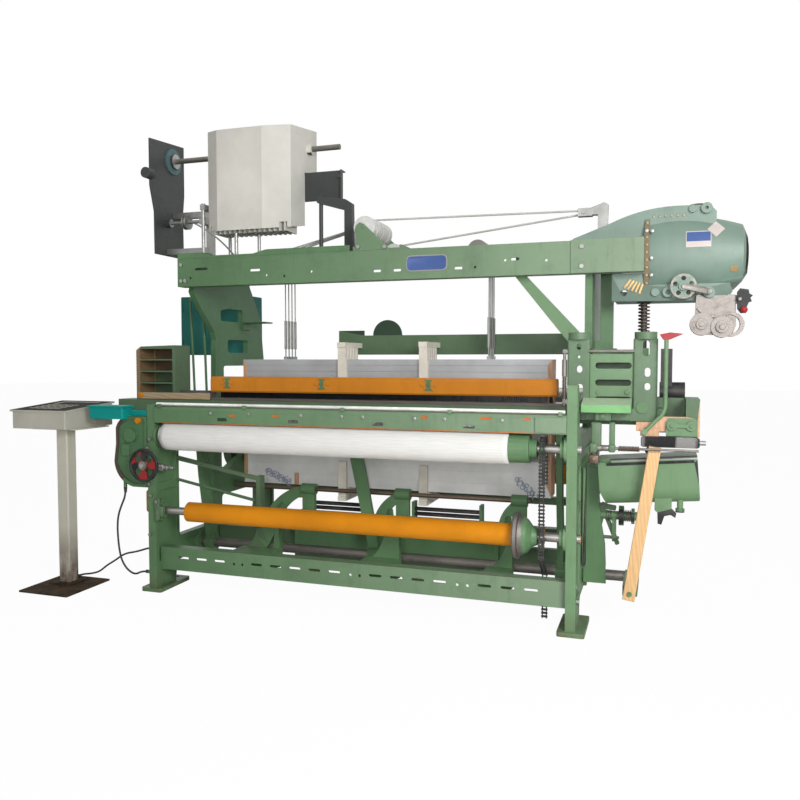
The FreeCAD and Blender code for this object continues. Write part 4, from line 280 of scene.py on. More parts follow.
def bright_steel(name, colour=(0.38, 0.37, 0.35), roughness=0.28, along=(1, 1, 1), stain=0.35):
    """Turned or ground steel with tool marks, oil film and light rust stains."""
    mat = Recipe(name)
    marks = mat.noise(90, 3, 0.6, mat.stretched(along))
    film = mat.noise(5, 6, 0.65)
    base = mat.mix(mat.ramp(film, 0.35, 0.7), shade(colour, 1.12), shade(colour, 0.72))
    rust = mat.times(mat.ramp(mat.noise(14, 8, 0.75), 0.58, 0.78), stain)
    mat.colour(mat.mix(rust, base, (0.16, 0.085, 0.045)))
    mat.rough(mat.times(marks, rust, "ADD"), roughness - 0.06, roughness + 0.30)
    mat.bump(marks, 0.0002, 0.5, 0.0012)
    return mat.set(metallic=0.92).material


def banded_steel(name):
    """Polished bar: painted reflections, dark and bright bands across its length as a mirroring surface shows them.
    """
    mat = Recipe(name)
    # painted reflections: dark and bright bands
    bands = mat.ramp(mat.noise(12, 1, 0.5, mat.stretched((1, 0.05, 0.05))), 0.47, 0.55)
    mat.colour(mat.mix(bands, (0.016, 0.016, 0.017), (0.26, 0.255, 0.245)))
    mat.rough(mat.noise(120, 3, 0.6), 0.14, 0.34)
    mat.bump(mat.noise(90, 3, 0.6, mat.stretched((0.3, 6, 6))), 0.0002, 0.4, 0.0012)
    return mat.set(metallic=0.6).material


def dark_metal(name, colour, roughness=0.45, metal=0.4):
    """Oiled black iron: dull, with greasy bright patches."""
    mat = Recipe(name)
    film = mat.noise(16, 7, 0.7)
    mat.colour(mat.mix(mat.ramp(film, 0.42, 0.72), colour, tuple(2.1 * c + 0.012 for c in colour)))
    mat.rough(film, roughness - 0.16, roughness + 0.2)
    mat.bump(mat.noise(220, 3), 0.0003, 0.5, 0.0015)
    return mat.set(metallic=metal, specular_ior_level=0.2).material


def bare_casting(name, colour):
    """Raw alloy casting: fine grain skin, dull shine, stained recesses."""
    mat = Recipe(name)
    grain = mat.noise(260, 4, 0.7)
    stain = mat.ramp(mat.noise(18, 7, 0.7), 0.5, 0.75)
    mat.colour(mat.mix(mat.times(stain, 0.75), colour, (0.075, 0.060, 0.052)))
    mat.rough(grain, 0.36, 0.62)
    mat.bump(grain, 0.0005, 0.6, 0.002)
    return mat.set(metallic=0.55).material


def timber(name, colour, along=(18, 18, 1.6), figure=0.75):
    """Varnished straight-grained timber; the figure says how strongly its grain shows."""
    mat = Recipe(name)
    where = mat.stretched(along)
    grain = mat.node("ShaderNodeTexWave", {"Vector": where, "Scale": 2.2, "Distortion": 5.5, "Detail": 4.0,
                                           "Detail Scale": 1.4}, bands_direction="DIAGONAL").outputs["Fac"]
    fibre = mat.noise(30, 6, 0.7, where)
    base = mat.mix(mat.ramp(grain, 0.25, 0.95), shade(colour, 1 - 0.26 * figure), shade(colour, 1 + 0.08 * figure))
    mat.colour(mat.mix(mat.times(mat.ramp(fibre, 0.50, 0.80), figure), base, shade(colour, 0.55)))
    mat.rough(fibre, 0.34, 0.55)
    mat.bump(fibre, 0.0004, 0.45, 0.002)
    return mat.set(coat_weight=0.25, coat_roughness=0.2).material


def drawn_alloy(name, colour, metal=0.5):
    """Extruded alloy stave: fine lines drawn along its length."""
    mat = Recipe(name)
    lines = mat.noise(70, 2, 0.5, mat.stretched((0.4, 12, 12)))
    clouds = mat.noise(4, 5, 0.6)
    mat.colour(mat.mix(mat.ramp(clouds, 0.3, 0.7), shade(colour, 0.84), shade(colour, 1.14)))
    mat.rough(lines, 0.34, 0.5)
    mat.bump(lines, 0.0003, 0.5, 0.0015)
    return mat.set(metallic=metal).material


def moulded(name, colour, roughness=0.4, speck=90):
    """Moulded plastic or rubber: fine pebble, hand-worn sheen."""
    mat = Recipe(name)
    pebble = mat.noise(speck, 5, 0.6)
    clouds = mat.noise(6, 5, 0.65)
    mat.colour(mat.mix(mat.ramp(clouds, 0.35, 0.72), shade(colour, 0.84), shade(colour, 1.12)))
    mat.rough(pebble, roughness - 0.1, roughness + 0.14)
    mat.bump(pebble, 0.0003, 0.5, 0.0012)
    return mat.material


def woven_cloth(name, colour, pitch):
    """Plain weave that follows the sheet's own map, with painted shade between its threads and along the coarse
    bars of a firm winding.
    """
    mat = Recipe(name)
    sheet = mat.nodes.new("ShaderNodeUVMap").outputs[0]
    threads = {"Vector": sheet, "Scale": 0.31 / pitch, "Distortion": 0.6, "Detail": 1.0}
    warp, weft = (mat.node("ShaderNodeTexWave", threads, bands_direction=way).outputs["Fac"] for way in "XY")
    weave = mat.times(warp, weft, "MAXIMUM")
    slub = mat.noise(26, 5, 0.6, mat.stretched((0.35, 7, 7), sheet))
    crease_shade = mat.noise(5, 3, 0.5, mat.stretched((2.6, 0.4, 1), sheet))
    base = mat.mix(mat.ramp(slub, 0.35, 0.7), shade(colour, 0.90), shade(colour, 1.06))
    shadow = mat.mix(mat.times(mat.ramp(weave, 0.75, 0.2), 0.35), base, shade(colour, 0.62))
    # painted shade along the crease bars
    mat.colour(mat.mix(mat.times(mat.ramp(crease_shade, 0.56, 0.74), 0.10), shadow, shade(colour, 0.70)))
    mat.rough(slub, 0.78, 0.95)
    mat.bump(mat.times(weave, mat.times(slub, 0.8), "ADD"), 0.0009, 0.7)
    return mat.set(sheen_weight=0.3, sheen_roughness=0.4).material


FINISH = {}


def mix_finishes():
    """Mixes every finish once, from the panel's paints."""
    tone, size = bpy.context.scene.loom_paints, bpy.context.scene.loom_sizes

    def mix(kind, key, *values, **named):
        """One finish: the kind of recipe, its key and the recipe's values."""
        values = [tuple(value) if hasattr(value, "__len__") else value for value in values]
        FINISH[key] = kind(key, *values, **named)

    for key in ("deep_green", "mid_green", "pale_green", "rear_green", "leaf_green"):
        mix(enamel, key, getattr(tone, key), edge=size.edge)
    # the beam's green is painted lighter towards the right end: painted light
    mix(enamel, "beam_green", tuple(c * 0.96 for c in tone.mid_green), edge=size.edge,
        lit_colour=(0.200, 0.275, 0.182))
    mix(enamel, "sea_green", tone.sea_green, 0.46, 0.30, 0.3, size.edge, 1.0)
    for key in ("amber", "ochre"):
        mix(enamel, key, getattr(tone, key), 0.34, 0.22, 0.4, size.edge, 0.02)
    for key in ("turquoise", "teal"):
        mix(enamel, key, getattr(tone, key), 0.40, 0.12, 0.3, THIN_EDGE, 0.01)
    mix(enamel, "warm_grey", tone.warm_grey, 0.48, 0.07, 0.15, THIN_EDGE)
    mix(scuffed_post, "post_grey", (0.530, 0.515, 0.430))
    mix(enamel, "base_dark", (0.020, 0.018, 0.011), 0.7, 0.5, 0.2, THIN_EDGE, 0)
    mix(enamel, "console_grey", (0.455, 0.440, 0.380), 0.48, 0.07, 0.15, THIN_EDGE)
    mix(enamel, "sea_dark", (0.100, 0.160, 0.121), edge=size.edge)
    # a paler copy of leaf green for the cover's upward faces: painted light
    mix(enamel, "leaf_pale", (0.400, 0.520, 0.350), edge=size.edge)
    mix(enamel, "seam_tan", (0.215, 0.170, 0.100), 0.55, 0.7, 0.3, 0.001)
    mix(enamel, "shoe_tan", (0.43, 0.22, 0.055), 0.6, 0.6, 0.4, THIN_EDGE)
    mix(enamel, "half_disc", (0.022, 0.050, 0.026), 0.45, 0.4, 0.3, THIN_EDGE)
    mix(enamel, "charcoal", tone.charcoal, 0.42, 0.30, 0.5, THIN_EDGE)
    mix(enamel, "primer", (0.50, 0.135, 0.022), 0.5, 0.35, 0.3, THIN_EDGE)
    mix(enamel, "rim_brown", (0.070, 0.052, 0.036), 0.5, 0.4, 0.4, THIN_EDGE)
    mix(enamel, "flange_teal", (0.085, 0.150, 0.160), 0.5, 0.4, 0.3, THIN_EDGE)
    mix(enamel, "umber", tone.umber, 0.45, 0.30, 0.4, 0.002)
    mix(enamel, "red", (0.330, 0.014, 0.018), 0.35, 0.15, 0.4, THIN_EDGE)
    mix(enamel, "plate_blue", (0.060, 0.110, 0.300), 0.3, 0.05, 0.1, 0.0008)
    mix(enamel, "plate_white", (0.62, 0.55, 0.52), 0.35, 0.08, 0.1, 0.0008)
    mix(bright_steel, "steel")
    mix(bright_steel, "steel_long", along=(0.2, 9, 9))
    mix(bright_steel, "polished", (0.86, 0.85, 0.83), 0.3, (0.2, 9, 9), 0.2)
    mix(bright_steel, "dull_steel", (0.23, 0.215, 0.195), 0.42, stain=0.6)
    mix(bright_steel, "zinc", (0.36, 0.36, 0.345), 0.34, stain=0.2)
    mix(banded_steel, "strap_steel")
    mix(dark_metal, "black_iron", (0.035, 0.034, 0.033))
    mix(dark_metal, "black_paint", (0.018, 0.018, 0.018), 0.4, 0.1)
    mix(bright_steel, "reed_steel", (0.010, 0.016, 0.019), 0.4, (1, 1, 0.1), 0.1)
    mix(bright_steel, "brown_steel", (0.17, 0.125, 0.095), 0.42, (0.2, 9, 9), 0.6)
    mix(bright_steel, "brass", (0.50, 0.35, 0.17), 0.42, stain=0.45)
    mix(moulded, "pull_grey", (0.50, 0.49, 0.47), 0.42, 60)
    mix(moulded, "ring_blue", (0.36, 0.41, 0.54), 0.35)
    mix(bare_casting, "raw_alloy", (0.25, 0.225, 0.208))
    mix(drawn_alloy, "drawn_alloy", (0.42, 0.43, 0.44))
    mix(timber, "timber", tone.timber, figure=0.45)
    mix(timber, "lath", (0.62, 0.35, 0.20), (14, 14, 2), 0.4)
    mix(timber, "old_wood", (0.230, 0.145, 0.070), (2, 14, 14), 0.6)
    mix(timber, "pale_wood", (0.430, 0.320, 0.185), (2, 14, 14), 0.6)
    # a lit copy of the alloy for the lower staves and wires: painted light where they stand in shade
    mix(drawn_alloy, "light_drawn", (0.80, 0.80, 0.80), 0.1)
    mix(enamel, "box_green", (0.108, 0.176, 0.100), edge=size.edge)
    mix(timber, "race_wood", (0.095, 0.080, 0.070), (1.4, 16, 16), 0.6)
    mix(moulded, "ivory", (0.80, 0.75, 0.66), 0.42)
    mix(moulded, "white_cover", (0.66, 0.66, 0.63), 0.5, 60)
    mix(moulded, "black_rubber", (0.022, 0.022, 0.022), 0.5)
    mix(woven_cloth, "cloth", tone.cloth, size.thread)
    mix(moulded, "key_grey", (0.030, 0.029, 0.026), 0.8, 30)
    FINISH["key_grey"].node_tree.nodes["Principled BSDF"].inputs["Specular IOR Level"].default_value = 0.12


def dress(node, main, *others):
    """Gives a node its finish. Each of the others is (finish, test): it goes on the faces whose middle, in the
    loom's millimetres, and outward normal pass the test."""
    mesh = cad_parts[node].data
    mesh.materials.clear()
    for key in (main, *(key for key, test in others)):
        mesh.materials.append(FINISH[key])
    for face in mesh.polygons:
        x, y, z = face.center / MM
        y -= FLOOR_Y / MM
        face.material_index = 0
        for slot, (key, test) in enumerate(others, 1):
            if test(x, y, z, face.normal):
                face.material_index = slot


def finish_piece(obj, body, finish, slot, *replaced):
    """Ties a finished piece to its body and its finish; its slot is not used."""
    obj.data.materials.clear()
    obj.data.materials.append(FINISH[finish])
    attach(obj, body)
    if replaced:
        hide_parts(*replaced)


# ---- modelling --------------------------------------------------------------------------------
def only(obj):
    """Leaves one piece selected and active."""
    bpy.ops.object.select_all(action="DESELECT")
    bpy.context.view_layer.objects.active = obj
    obj.select_set(True)


def start(kind, name, place, turn=(0, 0, 0), stretch=(1, 1, 1), **values):
    """A primitive at its place in the loom's millimetres, its own sizes in millimetres too."""
    sizes = {key: value * MM if key in ("size", "radius", "radius1", "radius2", "depth", "major_radius",
                                        "minor_radius") else value for key, value in values.items()}
    bpy.ops.object.select_all(action="DESELECT")
    getattr(bpy.ops.mesh, f"primitive_{kind}_add")(location=at(*place), rotation=turn, **sizes)
    obj = bpy.context.active_object
    obj.name = name
    obj.scale = stretch
    bpy.ops.object.transform_apply(location=False, rotation=True, scale=True)
    return obj


def edit(obj, faces=None, edges=None):
    """Opens edit mode with the faces or edges chosen whose middle and direction pass the test."""
    only(obj)
    bpy.ops.object.mode_set(mode="EDIT")
    bpy.ops.mesh.select_mode(type="FACE" if faces else "EDGE")
    bpy.ops.mesh.select_all(action="DESELECT")
    shape = bmesh.from_edit_mesh(obj.data)
    if faces:
        for face in shape.faces:
            face.select_set(bool(faces(face.calc_center_median() / MM, face.normal)))
    else:
        for edge in shape.edges:
            a, b = (corner.co for corner in edge.verts)
            edge.select_set(bool(edges((a + b) / 2 / MM, (b - a).normalized())))
    shape.select_flush_mode()
    bmesh.update_edit_mesh(obj.data)


def everything(middle, way):
    """Test for edit: all of the piece."""
    return True


def facing_weaver(middle, way):
    """Test for edit: the faces that look at the weaver."""
    return way.y < -0.9


def shaped(obj):
    """Closes edit mode."""
    bpy.ops.object.mode_set(mode="OBJECT")
    return obj


def modify(obj, kind, **settings):
    """Adds one modifier and applies it."""
    only(obj)
    change = obj.modifiers.new(kind.lower(), kind)
    for key, value in settings.items():
        setattr(change, key, value)
    bpy.ops.object.modifier_apply(modifier=change.name)
    return obj


def block(name, place, sides, radius=1.0, along=None):
    """A bevelled block: its middle, its sides and its edge radius, on all edges or those along one axis."""
    obj = start("cube", name, place, stretch=sides, size=1)
    edit(obj, edges=lambda middle, way: along is None or abs(way[along]) > 0.9)
    bpy.ops.mesh.bevel(offset=radius * MM, segments=3, affect="EDGES")
    return shaped(obj)


def bolt(name, place, turn, across, depth):
    """A hexagon head, its two ends inset and raised; across is its size over two flats."""
    obj = start("cylinder", name, place, turn, vertices=6, radius=across / 2 / 0.866, depth=depth)
    axis = max(range(3), key=lambda i: abs(obj.data.polygons[-1].normal[i]))
    edit(obj, faces=lambda middle, way: abs(way[axis]) > 0.9)
    bpy.ops.mesh.inset(thickness=0.09 * across * MM, depth=0.05 * across * MM)
    return shaped(obj)


def joined(name, pieces):
    """Several shaped pieces as one object."""
    only(pieces[0])
    for piece in pieces[1:]:
        piece.select_set(True)
    if len(pieces) > 1:
        bpy.ops.object.join()
    pieces[0].name = name
    return pieces[0]


def repeated(obj, places):
    """The piece at each further place, every copy with its own mesh, as one object."""
    twins = [obj]
    for place in places:
        twin = obj.copy()
        twin.data = obj.data.copy()
        twin.location = at(*place)
        bpy.context.scene.collection.objects.link(twin)
        twins.append(twin)
    return joined(obj.name, twins)


def settled(obj, smooth=40):
    """Puts the piece's place into its mesh and smooths it up to an angle."""
    only(obj)
    bpy.ops.object.transform_apply(location=True, rotation=True, scale=True)
    bpy.ops.object.shade_smooth_by_angle(angle=math.radians(smooth))
    return obj


def blocks(name, *shapes):
    """Bevelled blocks of one piece, each given as for block."""
    return [block(name, *shape) for shape in shapes]


def finish_group(name, pieces, body, finish, slot, *replaced, smooth=40):
    """Joins the shapes of one piece, settles it and finishes it."""
    finish_piece(settled(joined(name, pieces), smooth), body, finish, slot, *replaced)


def spring(name, place, radius, wire, length, turns, turn=(0, 0, 0)):
    """A wound spring that starts at its place and runs up its own axis."""
    obj = start("circle", name, place, ALONG_Y, vertices=7, radius=wire, fill_type="NOTHING")
    edit(obj, edges=everything)
    bpy.ops.transform.translate(value=(radius * MM, 0, 0))
    shaped(obj)
    modify(obj, "SCREW", angle=2 * math.pi * turns, screw_offset=length * MM, steps=12 * turns,
           render_steps=12 * turns, use_normal_calculate=True)
    edit(obj, edges=everything)
    bpy.ops.mesh.fill_holes(sides=0)
    bpy.ops.mesh.select_all(action="SELECT")
    bpy.ops.mesh.normals_make_consistent(inside=False)
    shaped(obj)
    obj.rotation_euler = turn
    return settled(obj, 60)


def turned(name, place, turn, steps, sides=24):
    """A turned piece: from its place along its own axis, each step a length and a radius."""
    pieces, run = [], 0.0
    for length, radius in steps:
        piece = start("cylinder", name, place, vertices=sides, radius=radius, depth=length)
        edit(piece, edges=lambda middle, way: abs(way.z) < 0.1)
        bpy.ops.mesh.bevel(offset=min(1.5, 0.2 * radius, 0.3 * length) * MM, segments=2, affect="EDGES")
        shaped(piece)
        edit(piece, faces=everything)
        bpy.ops.transform.translate(value=(0, 0, (run + length / 2) * MM))
        shaped(piece)
        pieces.append(piece)
        run += length
    whole = joined(name, pieces)
    whole.rotation_euler = turn
    return settled(whole)


def front(node, x, z):
    """How far back a line from the weaver's side first meets a node, in the loom's millimetres."""
    hit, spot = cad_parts[node].ray_cast(at(x, -800, z), Vector((0, 1, 0)))[:2]
    if not hit:
        raise RuntimeError(f"{node} has no front at {x}, {z}")
    return (spot.y - FLOOR_Y) / MM


def bind_reed():
    """The reed: two half-round baulks, closely set dents between them and a block at each end."""
    sizes = bpy.context.scene.loom_sizes
    (x0, y0, z0), (x1, y1, z1) = ([value / MM for value in corner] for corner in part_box("reed"))
    y0, y1 = y0 - FLOOR_Y / MM, y1 - FLOOR_Y / MM
    middle, depth = (y0 + y1) / 2, y1 - y0
    low = block("reed_low", ((x0 + x1) / 2, middle, z0 + 4.5), (x1 - x0, depth - 1, 9), 3)
    high = block("reed_high", ((x0 + x1) / 2, middle, z1 - 10), (x1 - x0, depth - 1, 20), 3)
    ends = [block("reed_end", (x, middle, (z0 + z1) / 2), (16, 8, z1 - z0 - 6), 1.5) for x in (x0 + 9, x1 - 9)]
    pitch = sizes.reed_pitch / MM
    dent = start("cube", "reed_dent", (x0 + 20, middle, (z0 + z1) / 2 - 4), stretch=(1.3, 7, z1 - z0 - 20), size=1)
    dent = modify(dent, "ARRAY", count=int((x1 - x0 - 40) / pitch), use_relative_offset=False,
                  use_constant_offset=True, constant_offset_displace=(pitch * MM, 0, 0))
    finish_group("reed_dents", [dent, low, high, *ends], "slay", "reed_steel", "dark_steel", "reed")


def hang_healds(number, y):
    """The wire healds of one frame, each with its eye, closely set between the two staves."""
    pitch = bpy.context.scene.loom_sizes.heald_pitch / MM
    first, middle_z, height, run = -812 + 1.3 * number, 888, 420, 1690
    wire = start("cylinder", f"heald_wires_{number}", (first, y, middle_z), vertices=4, radius=0.9, depth=height,
                 end_fill_type="TRIFAN")
    edit(wire, edges=lambda middle, way: abs(way.z) > 0.9)
    bpy.ops.mesh.subdivide(number_cuts=3)
    shaped(wire)
    edit(wire, edges=lambda middle, way: abs(way.z) < 0.1 and abs(middle.z) < 1)
    bpy.ops.transform.resize(value=(1.9, 2.6, 1))
    shaped(wire)
    wire = modify(wire, "ARRAY", count=int(run / pitch), use_relative_offset=False, use_constant_offset=True,
                  constant_offset_displace=(pitch * MM, 0, 0))
    # the wires take the lit copy of the alloy: painted light
    finish_piece(settled(wire), f"heald_{number}", "light_drawn", "stave_grey")


def drum_plate(name, place, sides, turn, finish, proud=1.2):
    """A thin blank plate pressed on the curved front of the dobby's barrel."""
    sheet = start("grid", name, (place[0], 230, place[1]), ALONG_Y, (sides[0], sides[1], 1),
                  x_subdivisions=10, y_subdivisions=10, size=1)
    sheet.rotation_euler = (0, turn, 0)
    settled(sheet)
    modify(sheet, "SHRINKWRAP", target=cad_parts["dobby_housing"], wrap_method="PROJECT", use_project_y=True,
           use_positive_direction=True, use_negative_direction=True, offset=proud * MM)
    modify(sheet, "SOLIDIFY", thickness=2 * MM, offset=0)
    finish_piece(settled(sheet), "frame", finish, "dobby_green")


# Routes of the two cables, in the loom's millimetres.
GUARD_ROUTE = [(-1232, -30, 532), (-1232, -30, 488), (-1258, -30, 436), (-1280, -30, 382), (-1287, -30, 322),
               (-1284, -30, 256), (-1277, -30, 194), (-1262, -30, 138), (-1228, -30, 94), (-1180, -30, 72),
               (-1136, -30, 96), (-1094, -30, 96)]
CONSOLE_ROUTE = [(-1580, -12, 22), (-1580, 42, 22), (-1566, 92, 12), (-1524, 114, 22), (-1472, 106, 62),
                 (-1408, 100, 98), (-1344, 96, 142), (-1262, 98, 158), (-1172, 100, 190), (-1094, 100, 190)]


def hang_cable(name, route, radius, node):
    """A sheathed cable along its route, as one smooth line."""
    curve = bpy.data.curves.new(name, "CURVE")
    curve.dimensions = "3D"
    line = curve.splines.new("NURBS")
    line.points.add(len(route) - 1)
    for point, place in zip(line.points, route):
        point.co = (*at(*place), 1)
    line.order_u = 3
    line.use_endpoint_u = True
    line.resolution_u = 10
    curve.bevel_depth = radius
    curve.bevel_resolution = 5
    curve.use_fill_caps = True
    cable = bpy.data.objects.new(name, curve)
    bpy.context.scene.collection.objects.link(cable)
    finish_piece(cable, "frame", "black_rubber", "cable_black", node)


# ---- operators: one for each group of pieces -----------------------------------------------
class LOOM_OT_castings(bpy.types.Operator):
    """Finish the frame's castings and add the breast beam's bolts and slots and the beam plate's blue field"""
    bl_idname = "loom.castings"
    bl_label = "Frame castings"

    def execute(self, context):
        mix_finishes()
        # Painted light and shade: the right frame takes the lit copy of the green, the left arch the shaded one.
        for node, green in (("left_side_frame", "mid_green"), ("right_side_frame", "pale_green")):
            dress(node, green, ("dull_steel", lambda x, y, z, n: abs(n.z) > 0.9 and z < 1))
        dress("left_arch", "deep_green")
        dress("right_arch", "mid_green")
        dress("top_beam", "beam_green")
        # The right end of the fittings takes the lit copy of the green: painted light.
        dress("beam_fittings", "beam_green", ("zinc", lambda x, y, z, n: 205 < x < 430 and y < 275 and z < 1712),
              ("pale_green", lambda x, y, z, n: x > 700))
        dress("breast_beam", "beam_green", ("primer", lambda x, y, z, n: y > -44 and n.y < -0.7 and z < 949))
        dress("breast_rod", "polished")
        dress("cross_rails", "beam_green", ("rear_green", lambda x, y, z, n: y > 400))
        dress("spring_boxes", "mid_green", ("rear_green", lambda x, y, z, n: y < 200 and x < -530))
        dress("return_levers", "black_iron", ("brown_steel", lambda x, y, z, n: z > 470 and y < 470),
              ("steel_long", lambda x, y, z, n: n.x > 0.9 and y > 490))
        dress("frame_bolts", "zinc")
        # The guard takes the shaded copy of the green: painted shade.
        dress("belt_guard", "deep_green", ("rim_brown", lambda x, y, z, n: abs(n.y) < 0.5 and x < -1200),
              ("rim_brown", lambda x, y, z, n: y < -51 and n.y < -0.9 and x < -1225),
              ("amber", lambda x, y, z, n: off(GUARD_CAP, x, z) < 17))
        dress("end_tray", "turquoise")

        bolts = bolt("breast_bolts", (-700, -55, 930), ALONG_Y, 15, 7)
        bolts = repeated(bolts, [(x, -55, 930) for x in (-487, -208, 3, 108, 360, 500, 760)])
        finish_piece(settled(bolts), "frame", "zinc", "steel")
        slots = [block("breast_slots", (x, -52.5, z), (width, 1.4, 12), 5.4, 1) for x, z, width in
                 ((-580, 921, 34), (-345, 925, 36), (404, 936, 34), (688, 938, 52), (869, 940, 30))]
        for slot in slots:
            edit(slot, faces=facing_weaver)
            bpy.ops.mesh.inset(thickness=1.6 * MM, depth=-0.7 * MM)
            shaped(slot)
        finish_group("breast_slots", slots, "frame", "primer", "orange")
        edge = block("breast_edge", (-40, -52.4, 878), (1888, 0.8, 4), 0.3)
        finish_piece(settled(edge), "frame", "primer", "orange")
        field = block("beam_plate_field", (318.5, 267.1, 1669.5), (199, 0.8, 67), 19, 1)
        edit(field, faces=facing_weaver)
        bpy.ops.mesh.inset(thickness=2.2 * MM)
        bpy.ops.mesh.inset(thickness=0.6 * MM, depth=-0.3 * MM)
        finish_piece(settled(shaped(field)), "frame", "plate_blue", "frame_green")
        return {"FINISHED"}


class LOOM_OT_rollers(bpy.types.Operator):
    """Finish the rollers, shafts, handwheel and chain and add the fittings of the left post"""
    bl_idname = "loom.rollers"
    bl_label = "Rollers and shafts"

    def execute(self, context):
        dress("take_up_roller", "steel", ("mid_green", lambda x, y, z, n: off(TAKE_UP_AXIS, y, z) > 26 and x > 0))
        dress("cloth_roller", "amber", ("rear_green", lambda x, y, z, n: x < -1000),
              ("steel", lambda x, y, z, n: off(CLOTH_AXIS, y, z) < 45 and abs(n.x) < 0.7))
        dress("roller_flange", "mid_green", ("dull_steel", lambda x, y, z, n: off(CLOTH_AXIS, y, z) > 84))
        dress("take_up_chain", "black_iron")
        dress("handwheel", "black_paint",
              ("red", lambda x, y, z, n: off(WHEEL_AXIS, x, z) < 66
               and math.sin(3 * math.atan2(z - WHEEL_AXIS[1], x - WHEEL_AXIS[0]) + 0.6) > -0.2),
              ("dull_steel", lambda x, y, z, n: off(WHEEL_AXIS, x, z) < 24))
        dress("handwheel_shaft", "steel")
        dress("crankshaft", "dull_steel", ("rear_green", lambda x, y, z, n: off(CRANK_AXIS, y, z) > 60))
        dress("warp_beam", "amber", ("steel", lambda x, y, z, n: off(WARP_AXIS, y, z) < 60))
        dress("whip_roller", "steel_long")

        stub = turned("left_stub", (-1040.5, -34, 645), ALONG_X, ((8, 27), (46, 19), (20, 12), (34, 8)))
        finish_piece(stub, "frame", "steel", "steel")
        clamp = blocks("left_clamp", ((-1022, -52, 430), (30, 14, 112), 4), ((-1014, -36, 418), (42, 30, 58), 9),
                       ((-1022, -58, 398), (12, 6, 58), 2.5))
        finish_group("left_clamp", clamp, "frame", "rear_green", "frame_green")
        nuts = repeated(bolt("left_nuts", (-1022, -61, 470), ALONG_Y, 17, 9),
                        [(x, -64, z) for x, z in ((-1060, 560), (-1060, 300), (-1052, 500), (-1066, 745),
                                                  (-1054, 790))])
        finish_piece(settled(nuts), "frame", "dull_steel", "steel")
        shoe = block("side_shoe", (-1102, 4, 462), (34, 46, 118), 14)
        finish_piece(settled(shoe), "frame", "shoe_tan", "orange")
        return {"FINISHED"}


